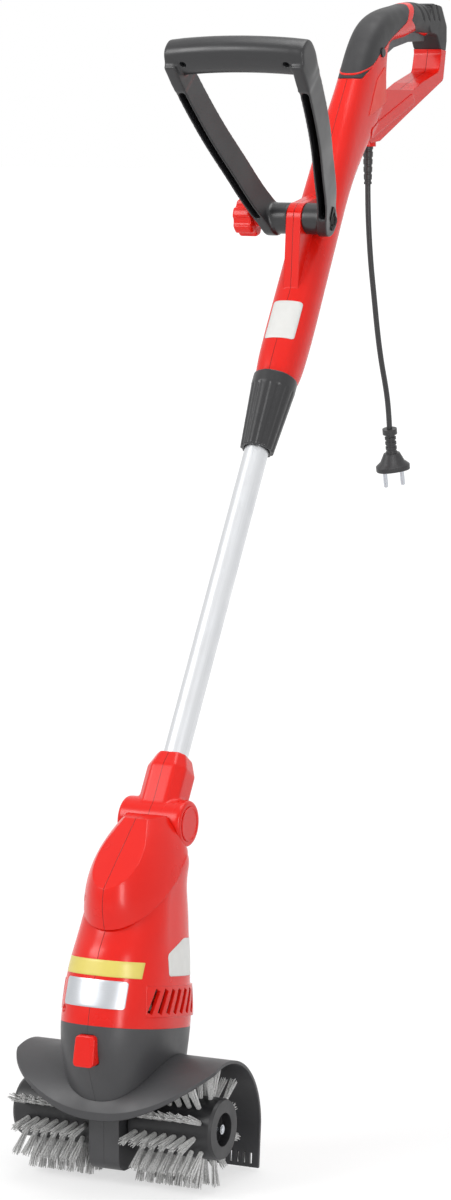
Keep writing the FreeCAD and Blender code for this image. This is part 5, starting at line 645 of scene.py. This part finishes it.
@dataclass
class RollerBristles:
    """Bristles of one roller, in rows round its drum, with every other row set half a step on."""
    side: int
    inner_end: float = 19.0
    outer_end: float = 107.5
    first: float = 8.5
    last: float = 12.5
    rows: int = 12
    along: int = 7
    root_reach: float = 26.5
    tip_reach: float = 59.6
    # turn of the first row and shift of every other row, as shares of a step
    first_row: float = 0.25
    shift: float = 0.5
    variants: int = 4
    seed: int = 7

    def make(self) -> None:
        """Sets every tuft in its hole."""
        bundle = BristleBundle(strands=17, strand_radius=0.62, length=self.tip_reach - self.root_reach,
                               root_radius=1.9, splay_radius=3.9, bend=0.9)
        patterns = [bundle.bundle(seed) for seed in range(self.variants)]
        inner = self.inner_end + self.first
        pitch = (self.outer_end - self.last - inner) / (self.along - self.shift)
        chance = random.Random(self.seed + self.side)
        tufts = []
        for row in range(self.rows):
            turn = 2 * math.pi * (row + self.first_row) / self.rows
            for i in range(self.along):
                across = self.side * (inner + pitch * (i + self.shift * (row % 2)))
                place = (Matrix.Translation(spot(across, 0, AXLE_HEIGHT_MM))
                         @ Matrix.Rotation(turn - math.pi / 2, 4, "X")
                         @ Matrix.Translation((0, 0, self.root_reach * MM))
                         @ Matrix.Rotation(chance.uniform(0, 2 * math.pi), 4, "Z"))
                tufts.append(copy_of(patterns[chance.randrange(self.variants)], place))
        for pattern in patterns:
            bpy.data.objects.remove(pattern)
        hand = "left" if self.side > 0 else "right"
        node = "bristle_tufts_" + hand
        settle(join(tufts, node), "roller_bristles_" + hand, BRISTLE_NYLON, "rollers", [node],
               ROUND_DEGREES)


@dataclass
class StripBristles:
    """Row of short tufts behind the rollers, leaning with the guard's rear wall."""
    count: int = 44
    tuft_radius: float = 1.5
    end_gap: float = 0.2
    # the guard's rear wall leans back by the first over the second
    lean_run: float = 4.0
    lean_rise: float = 45.0
    turn_step: float = 1.9
    seed: int = 11

    def make(self) -> None:
        """Hangs the tufts from their holder."""
        low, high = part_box("strip_bristles")
        length = (high.z - low.z) / MM - 2 * self.end_gap
        lean = math.atan2(self.lean_run, self.lean_rise)
        bundle = BristleBundle(strands=7, strand_radius=0.42, length=length, root_radius=0.9,
                               splay_radius=1.9, bend=0.8, joints=2)
        pattern = bundle.bundle(self.seed)
        half = (high.x - low.x) / 2 - self.tuft_radius * MM
        top_back = (low.y + high.y) / 2 + math.sin(lean) * length * MM / 2
        top = Vector((0, top_back, high.z - self.end_gap * MM))
        tufts = []
        for i in range(self.count):
            across = -half + 2 * half * i / (self.count - 1)
            place = (Matrix.Translation(top + Vector((across, 0, 0)))
                     @ Matrix.Rotation(math.pi - lean, 4, "X")
                     @ Matrix.Rotation(i * self.turn_step, 4, "Z"))
            tufts.append(copy_of(pattern, place))
        bpy.data.objects.remove(pattern)
        settle(join(tufts, "strip"), "guard_strip_bristles", BRISTLE_NYLON, "head",
               ["strip_bristles"], ROUND_DEGREES)


class Facing(Enum):
    """Which way a standing label looks, as its turn about its frame's Z."""
    FRONT = 0.0
    LEFT = math.pi / 2
    RIGHT = -math.pi / 2


@dataclass
class BareLabel:
    """A thin blank label with round corners that follows the moulding under it."""
    name: str
    centre: Matrix
    facing: Facing
    width: float
    height: float
    finish: Finish
    body: str
    under: Sequence[str]
    corner: float = 2.0
    thickness: float = 0.45
    # how far out the blank starts before it is laid on, and the size of its cells
    stand_off: float = 40.0
    grid: float = 2.0
    corner_steps: int = 5
    seat_gap: float = 0.06
    rim: float = 0.12
    # straight cuts: a point on each in the label's own plane, and the side that falls away
    trims: Sequence[tuple[float, float, float, float]] = ()

    def make(self) -> None:
        """Models the label and lays it on its moulding."""
        form = copy_of_nodes(self.under, "label_form")
        deselect_all()
        bpy.ops.mesh.primitive_plane_add(size=1.0)
        piece = newest()
        with edited(piece):
            bpy.ops.transform.resize(value=(self.width * MM, self.height * MM, 1.0))
            for x, y, away_x, away_y in self.trims:
                select_mesh()
                bpy.ops.mesh.bisect(plane_co=(x * MM, y * MM, 0), plane_no=(away_x, away_y, 0),
                                    clear_outer=True)
            select_mesh()
            bpy.ops.mesh.bevel(offset=self.corner * MM, segments=self.corner_steps, affect="VERTICES")
            self.cut_into_strips()
        turn = Matrix.Rotation(self.facing.value, 4, "Z") @ Matrix.Rotation(math.pi / 2, 4, "X")
        piece.matrix_world = self.centre @ turn @ Matrix.Translation((0, 0, self.stand_off * MM))
        wrap = piece.modifiers.new("lay_on", "SHRINKWRAP")
        wrap.target = form
        wrap.wrap_method = "PROJECT"
        wrap.use_project_z = True
        wrap.use_negative_direction = True
        wrap.use_positive_direction = False
        wrap.offset = self.seat_gap * MM
        wall = piece.modifiers.new("film", "SOLIDIFY")
        wall.thickness = self.thickness * MM
        wall.offset = 1.0
        rim = piece.modifiers.new("rim", "BEVEL")
        rim.width = self.rim * MM
        rim.segments = 2
        rim.limit_method = "ANGLE"
        rim.angle_limit = math.radians(ROUND_DEGREES)
        apply_modifiers(piece)
        bpy.data.objects.remove(form)
        settle(piece, self.name, self.finish, self.body)

    def cut_into_strips(self) -> None:
        """Cuts the flat blank both ways, so that it can follow a curve."""
        for size, normal in ((self.width, Vector((1, 0, 0))), (self.height, Vector((0, 1, 0)))):
            cuts = max(2, round(size / self.grid))
            for i in range(1, cuts):
                at = (i / cuts - 0.5) * size * MM
                select_mesh()
                bpy.ops.mesh.bisect(plane_co=normal * at, plane_no=normal)


CASING = ("motor_housing_left", "motor_housing_right")
HANDLE = ("handle_housing_left", "handle_housing_right")


def moved(frame_of: Matrix, *place: float) -> Matrix:
    """Returns a frame moved by millimetres along its own axes."""
    return frame_of @ Matrix.Translation(Vector(place) * MM)


def lay_bare_plates() -> None:
    """Lays the bare plates of the head and the handle, and a near-black film of painted shade over the
    loop's recess, in their places.
    """
    head = head_frame()
    for label in (
            BareLabel("care_strip", moved(head, 0.5, -40, 147), Facing.FRONT, 79, 15.5, YELLOW_FILM,
                      "head", CASING, corner=0.6, thickness=0.3, stand_off=90),
            BareLabel("front_plate", moved(head, -0.8, -40, 122.6), Facing.FRONT, 65, 26.6, SILVER_FOIL,
                      "head", CASING, corner=3.0, stand_off=90),
            BareLabel("rating_plate", moved(head, 20, 0, 160), Facing.LEFT, 60, 36, WHITE_FILM,
                      "head", CASING, corner=3.5, thickness=0.3, stand_off=50,
                      trims=((-23.9, 5.3, -0.395, 0.919),)),
            BareLabel("handle_plate", moved(tube_frame(), 0.3, 0, 551.5), Facing.FRONT, 33, 43.5,
                      WHITE_FILM, "handle", HANDLE, corner=3.0, thickness=0.3),
            # a near-black film on the loop's boss: painted shade of its recess
            BareLabel("loop_boss_painted_recess_shade", moved(loop_frame(), 20, 0, 4), Facing.LEFT, 17, 30,
                      RECESS_PAINTED_SHADE, "loop_handle", ("loop_arms", "handle_bolt"), corner=4.5,
                      thickness=1.2, trims=((0, 15, 0.87, 0.5), (0, 15, -0.87, 0.5)))):
        label.make()


@dataclass
class RearGrip:
    """The D-shaped rear grip: soft covers with rounded edges, ribs, a red trim line and side panels."""
    voxel: float = 0.9
    rounding: int = 6
    first_rounding: int = 2
    # top ends of the ribs' grooves, behind the axle and above the ground
    grooves: Sequence[tuple[float, float]] = ((674, 1132), (688, 1133), (702, 1133), (716, 1133))
    groove_way: tuple[float, float] = (0.50, -0.866)
    groove_half: float = 2.1
    groove_depth: float = 2.1
    groove_end: float = 1116.0
    groove_fade: float = 5.0
    corner_back: float = 746.0
    corner_height: float = 1137.4
    corner_radius: float = 25.0
    trim_back: float = 520.5
    trim_height: float = 1061.1
    trim_slope: float = 0.366
    trim_half: float = 0.55
    trim_proud: float = 0.3
    # middle, lean and size of the raised flank on the bar under the grip's opening
    bar_middle: tuple[float, float] = (596.0, 1016.0)
    bar_lean: float = math.radians(17.5)
    bar_size: tuple[float, float] = (122.0, 12.0)
    # corners of the flat panel on each side, behind the axle and above the ground
    panel: Sequence[tuple[float, float]] = (
        (573.1, 1068.8), (580.8, 1031.2), (527.5, 1016.7), (551.4, 1055.4))
    # the panel's blank is wider and taller than its corners by this
    panel_margin: float = 4.0

    def make(self) -> None:
        """Models the covers and what lies on them."""
        front = copy_of_nodes(["grip_cover_front"], "front_cover")
        soften(front, self.voxel, self.rounding)
        settle(front, "rear_grip_front_cover", GRIP_RUBBER, "handle", ["grip_cover_front"])
        rear = copy_of_nodes(["grip_cover_rear"], "rear_cover")
        soften(rear, self.voxel, self.first_rounding)
        self.round_corner(rear)
        calm(rear, self.rounding)
        self.press_grooves(rear)
        settle(rear, "rear_grip_ribbed_cover", GRIP_RUBBER, "handle", ["grip_cover_rear"],
               ROUND_DEGREES)
        self.trim_line()
        for facing, side in ((Facing.LEFT, 1), (Facing.RIGHT, -1)):
            self.side_panel(facing, side)
            self.bar_panel(facing, side)

    def round_corner(self, cover: Piece) -> None:
        """Draws the cover's upper rear corner in to an arc."""
        centre = Vector((self.corner_back - self.corner_radius, self.corner_height - self.corner_radius))
        for vertex in cover.data.vertices:
            place = in_tool_mm(vertex.co)
            out = Vector((place.y, place.z)) - centre
            if out.x > 0 and out.y > 0 and out.length > self.corner_radius:
                pull = out * (self.corner_radius / out.length - 1)
                vertex.co += Vector((0, pull.x, pull.y)) * MM

    def press_grooves(self, cover: Piece) -> None:
        """Presses the grooves between the ribs into the cover."""
        way_back, way_up = self.groove_way
        outwards = [vertex.normal.copy() for vertex in cover.data.vertices]
        for vertex, outward in zip(cover.data.vertices, outwards):
            place = in_tool_mm(vertex.co)
            fade = min(1.0, max(0.0, (place.z - self.groove_end) / self.groove_fade))
            depth = 0.0
            for back, height in self.grooves:
                off = abs((place.y - back) * way_up - (place.z - height) * way_back)
                if off < self.groove_half:
                    depth = math.cos(off / self.groove_half * math.pi / 2)
            vertex.co -= outward * (depth * fade * self.groove_depth * MM)

    def trim_line(self) -> None:
        """Cuts a thin slice of the front cover and lets it stand just proud of it in red."""
        ring = copy_of_nodes(["grip_cover_front"], "trim_slice")
        normal = Vector((0, -self.trim_slope, 1)).normalized()
        at = spot(0, self.trim_back, self.trim_height)
        with edited(ring):
            for sign in (1, -1):
                select_mesh()
                bpy.ops.mesh.bisect(plane_co=at + normal * (sign * self.trim_half * MM),
                                    plane_no=normal * sign, use_fill=True, clear_outer=True)
        swell(ring, self.trim_proud)
        settle(ring, "rear_grip_trim_line", RED_ABS, "handle", sharp_degrees=30)

    def side_panel(self, facing: Facing, side: int) -> None:
        """Lays the flat panel on one side of the grip's root.

        The side is 1 for the user's left and -1 for the right.
        """
        backs = [back for back, height in self.panel]
        heights = [height for back, height in self.panel]
        mid_back, mid_height = (min(backs) + max(backs)) / 2, (min(heights) + max(heights)) / 2
        trims = []
        for i, (back, height) in enumerate(self.panel):
            next_back, next_height = self.panel[(i + 1) % len(self.panel)]
            away = Vector((-(next_height - height), next_back - back, 0)).normalized()
            trims.append((side * (back - mid_back), height - mid_height, side * away.x, away.y))
        centre = Matrix.Translation(spot(0, mid_back, mid_height))
        # the panel's paler red is a painted sheen on the same red ABS
        BareLabel("grip_side_panel_" + ("left" if side > 0 else "right"), centre, facing,
                  max(backs) - min(backs) + self.panel_margin,
                  max(heights) - min(heights) + self.panel_margin, RED_ABS_MATT_PAINTED_SHEEN, "handle", HANDLE,
                  corner=2.5, thickness=0.7, trims=trims).make()

    def bar_panel(self, facing: Facing, side: int) -> None:
        """Lays the raised flank on one side of the bar under the grip's opening."""
        lean = Matrix.Rotation(self.bar_lean, 4, "X")
        centre = Matrix.Translation(spot(0, *self.bar_middle)) @ lean
        BareLabel("grip_bar_flank_" + ("left" if side > 0 else "right"), centre, facing, *self.bar_size,
                  RED_ABS, "handle", HANDLE, corner=4.0, thickness=0.9).make()


@dataclass(frozen=True)
class SoftPiece:
    """A moulded piece whose edges are rounded off, with the nodes that it stands for."""
    nodes: Sequence[str]
    name: str
    finish: Finish
    body: str
    voxel: float
    rounds: int

    def make(self) -> None:
        """Copies the nodes, rounds them and settles the copy."""
        piece = copy_of_nodes(self.nodes, self.name)
        soften(piece, self.voxel, self.rounds)
        settle(piece, self.name, self.finish, self.body, self.nodes)


@dataclass
class LoopHandle:
    """Front handle: its arms and its two-piece grip, whose shoulders flow into the bar."""
    nodes: Sequence[str] = ("loop_grip_front", "loop_grip_rear", "loop_arms")
    voxel: float = 0.9
    rounds: int = 6
    close: float = 1.2
    # where the shoulders begin, from the middle out and from the bolt up, and how far they fade in
    shoulder_out: float = 61.5
    shoulder_up: float = 181.0
    fade_out: float = 5.0
    fade_up: float = 12.0
    shoulder_rounds: int = 70

    def make(self) -> None:
        """Joins the mouldings and smooths the shoulders most."""
        handle = copy_of_nodes(self.nodes, "loop")
        soften(handle, self.voxel, self.rounds, self.close)
        shoulders = handle.vertex_groups.new(name="shoulders")
        from_world = loop_frame().inverted()
        for vertex in handle.data.vertices:
            place = (from_world @ vertex.co) / MM
            share = min(1.0, (abs(place.x) - self.shoulder_out) / self.fade_out,
                        (place.z - self.shoulder_up) / self.fade_up)
            if share > 0:
                shoulders.add([vertex.index], share, "REPLACE")
        calm(handle, self.shoulder_rounds, shoulders.name)
        settle(handle, "loop_side_arms", HANDLE_NYLON, "loop_handle", self.nodes)


@dataclass
class SoftenedPieces:
    """Tube socket, collar, knob, front handle and button, whose moulded edges are rounded off."""
    pieces: Sequence[SoftPiece] = (
        SoftPiece(("tube_socket_left", "tube_socket_right"), "tube_socket", RED_ABS_SHELL, "tube",
                  1.1, 12),
        SoftPiece(("lock_sleeve",), "lock_collar", HANDLE_NYLON, "lock_sleeve", 0.9, 4),
        SoftPiece(("star_knob",), "clamping_knob", RED_ABS, "star_knob", 0.7, 8),
    )
    # the button's width at its low end as a share of the solid's, and how much it grows to its top
    button_width: float = 0.92
    button_widening: float = 0.30
    button_low: float = 126.0
    button_high: float = 161.5
    button_voxel: float = 0.6
    button_rounds: int = 12

    def make(self) -> None:
        """Rounds each piece's edges."""
        for piece in self.pieces:
            piece.make()
        LoopHandle().make()
        self.release_button()

    def release_button(self) -> None:
        """Models the button with the squarer face that the real one has."""
        button = copy_of_nodes(["latch_button"], "button")
        soften(button, self.button_voxel, self.button_rounds)
        for vertex in button.data.vertices:
            rise = (in_tool_mm(vertex.co).z - self.button_low) / (self.button_high - self.button_low)
            share = self.button_width + self.button_widening * rise
            vertex.co.x = AXLE.x + (vertex.co.x - AXLE.x) * share
        settle(button, "release_button", RED_ABS, "latch_button", ["latch_button"])


@dataclass
class EndScrews:
    """Screws of the roller ends, their heads just inside the drums' rims."""
    outer_from: float = 85.0
    outward: float = 6.2

    def make(self) -> None:
        """Draws each screw out until its head shows."""
        screws = copy_of_nodes(["roller_screws"], "end_screws")
        for vertex in screws.data.vertices:
            across = in_tool_mm(vertex.co).x
            if abs(across) > self.outer_from:
                vertex.co.x += math.copysign(self.outward * MM, across)
        settle(screws, "roller_end_screws", ZINC_STEEL, "rollers", ["roller_screws"])


@dataclass
class PivotRims:
    """Raised rims round the caps of the tilting joint."""
    radius: float = 16.3
    rim: float = 0.8
    face: float = 34.4

    def make(self) -> None:
        """Turns one rim and copies it to the other end."""
        deselect_all()
        bpy.ops.mesh.primitive_torus_add(major_radius=self.radius * MM, minor_radius=self.rim * MM,
                                         major_segments=64, minor_segments=10)
        pattern = newest()
        rims = [copy_of(pattern, moved(tube_frame(), side * self.face, 0, 0)
                        @ Matrix.Rotation(math.pi / 2, 4, "Y")) for side in (1, -1)]
        bpy.data.objects.remove(pattern)
        settle(join(rims, "rims"), "pivot_cap_rims", RED_ABS, "tube", sharp_degrees=ROUND_DEGREES)


@dataclass
class MainsLead:
    """Short mains lead that hangs from its strain relief to the plug."""
    diameter: float = 6.0
    length: float = 275.5
    sides: int = 6
    steps: int = 16
    # how far behind the roller axle and how high each route point is, in metres
    route: Sequence[tuple[float, float]] = (
        (0.5703, 0.9440), (0.5706, 0.9240), (0.5735, 0.8930), (0.5795, 0.8570), (0.5890, 0.8200),
        (0.5980, 0.7830), (0.6085, 0.7510), (0.6215, 0.7220), (0.6290, 0.6970), (0.6316, 0.6770),
    )

    def make(self) -> None:
        """Draws the lead as one smooth open spline."""
        curve = bpy.data.curves.new("mains_lead", "CURVE")
        curve.dimensions = "3D"
        curve.bevel_depth = self.diameter / 2 * MM
        curve.bevel_resolution = self.sides
        curve.resolution_u = self.steps
        curve.use_fill_caps = True
        line = curve.splines.new("NURBS")
        line.points.add(len(self.route) - 1)
        for point, (back, height) in zip(line.points, self.route):
            point.co = (*spot(0, back / MM, height / MM), 1.0)
        line.order_u = 3
        line.use_endpoint_u = True
        piece = bpy.data.objects.new("mains_lead", curve)
        bpy.context.scene.collection.objects.link(piece)
        curve.materials.append(LEAD_PVC.material())
        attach(piece, "handle")
        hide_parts("power_cord")
        back, height = self.route[0]
        LOG.info("mains lead: %.0f mm", self.length)


@dataclass(frozen=True)
class Lamp:
    """One large soft lamp: its place, what it faces, its size and its power."""
    name: str
    place: tuple[float, float, float]
    aim: tuple[float, float, float]
    width: float
    height: float
    power: float

    def make(self) -> None:
        """Hangs the lamp."""
        data = bpy.data.lights.new(self.name, "AREA")
        data.shape = "RECTANGLE"
        data.size = self.width * MM
        data.size_y = self.height * MM
        data.energy = self.power
        lamp = bpy.data.objects.new(self.name, data)
        lamp.location = spot(*self.place)
        lamp.rotation_euler = (spot(*self.aim) - lamp.location).to_track_quat("-Z", "Y").to_euler()
        bpy.context.scene.collection.objects.link(lamp)


@dataclass
class Studio:
    """Camera, floor and soft light."""
    camera_place: tuple[float, float, float] = (1744.2, -3352.4, 1083.7)
    camera_pitch: float = 7.8
    camera_turn: float = 26.0
    lens: float = 120.0
    sensor: float = 36.0
    floor_half: float = 30000.0
    floor_roughness: float = 0.7
    # the floor's own glow, its share near the tool and far off, and where these begin, in metres
    glow: float = 1.38
    glow_shares: tuple[float, float] = (0.45, 0.72)
    glow_reach: tuple[float, float] = (0.45, 2.5)
    # the world's light on the tool, as a share of its own white
    ambient: float = 0.42
    lamps: Sequence[Lamp] = (
        Lamp("lamp_front_left", (-1900, -2100, 2300), (0, 250, 450), 1500, 1500, 50),
        Lamp("lamp_right_strip", (2150, -1950, 950), (0, 250, 500), 420, 1900, 30),
        Lamp("lamp_over", (200, 500, 3000), (0, 300, 400), 1600, 1600, 30),
    )

    def camera(self) -> None:
        """Sets the camera at the photograph's viewing angle."""
        data = bpy.data.cameras.new("camera")
        data.sensor_fit = "VERTICAL"
        data.sensor_height = self.sensor
        data.lens = self.lens
        data.clip_end = 100.0
        eye = bpy.data.objects.new("camera", data)
        eye.location = spot(*self.camera_place)
        eye.rotation_euler = (math.radians(90 - self.camera_pitch), 0, math.radians(self.camera_turn))
        bpy.context.scene.collection.objects.link(eye)
        bpy.context.scene.camera = eye

    def seen(self, tree: Tree, more: str = "") -> Socket:
        """Returns 1 where the eye, a reflection or one more kind of ray looks, and 0 elsewhere."""
        path = add_node(tree, "ShaderNodeLightPath")
        either = add_node(tree, "ShaderNodeMath", {"operation": "MAXIMUM"},
                          links={0: path.outputs["Is Camera Ray"], 1: path.outputs["Is Glossy Ray"]})
        if more:
            either = add_node(tree, "ShaderNodeMath", {"operation": "MAXIMUM"},
                              links={0: either.outputs[0], 1: path.outputs[more]})
        return either.outputs[0]

    def floor(self) -> None:
        """Lays a plain pale floor that shows near white and keeps the tool's shadow."""
        deselect_all()
        bpy.ops.mesh.primitive_grid_add(x_subdivisions=4, y_subdivisions=4,
                                        size=2 * self.floor_half * MM, location=spot(0, 0, 0))
        floor = newest()
        floor.name = "floor"
        take(floor)
        bpy.ops.object.transform_apply(location=True, rotation=True, scale=True)
        made = bpy.data.materials.new("white_painted_floor")
        made.use_nodes = True
        tree = made.node_tree
        paint = tree.nodes["Principled BSDF"]
        paint.inputs["Base Color"].default_value = linear("E6E6E6")
        paint.inputs["Roughness"].default_value = self.floor_roughness
        glow = add_node(tree, "ShaderNodeEmission",
                        values={"Color": linear("FFFFFF"), "Strength": self.glow})
        place = add_node(tree, "ShaderNodeTexCoord").outputs["Object"]
        away = add_node(tree, "ShaderNodeVectorMath", {"operation": "LENGTH"},
                        links={0: place}).outputs["Value"]
        lift = add_node(tree, "ShaderNodeMath", {"operation": "MULTIPLY"}, links={
            0: self.seen(tree), 1: spanned(tree, away, *self.glow_reach, *self.glow_shares)})
        mix = add_node(tree, "ShaderNodeMixShader",
                       links={0: lift.outputs[0], 1: paint.outputs[0], 2: glow.outputs[0]})
        tree.links.new(mix.outputs[0], tree.nodes["Material Output"].inputs["Surface"])
        floor.data.materials.append(made)

    def light(self) -> None:
        """Lights the tool with a pale world and large soft lamps."""
        world = bpy.context.scene.world or bpy.data.worlds.new("studio")
        bpy.context.scene.world = world
        world.use_nodes = True
        tree = world.node_tree
        tree.nodes.clear()
        level = spanned(tree, self.seen(tree, "Is Transmission Ray"), 0.0, 1.0, self.ambient, 1.0)
        back = add_node(tree, "ShaderNodeBackground", values={"Color": linear("FFFFFF")},
                        links={"Strength": level})
        add_node(tree, "ShaderNodeOutputWorld", links={"Surface": back.outputs[0]})
        for lamp in self.lamps:
            lamp.make()


def main() -> None:
    """Builds the scene in order."""
    logging.basicConfig(level=logging.INFO, format="%(name)s: %(message)s")
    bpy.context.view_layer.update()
    bpy.context.scene.view_settings.view_transform = "Standard"
    studio = Studio()
    studio.camera()
    MainsLead().make()
    Frame().dress()
    for side in (1, -1):
        RollerBristles(side).make()
    StripBristles().make()
    RearGrip().make()
    SoftenedPieces().make()
    EndScrews().make()
    PivotRims().make()
    lay_bare_plates()
    studio.floor()
    studio.light()


if __name__ == "__main__":
    main()
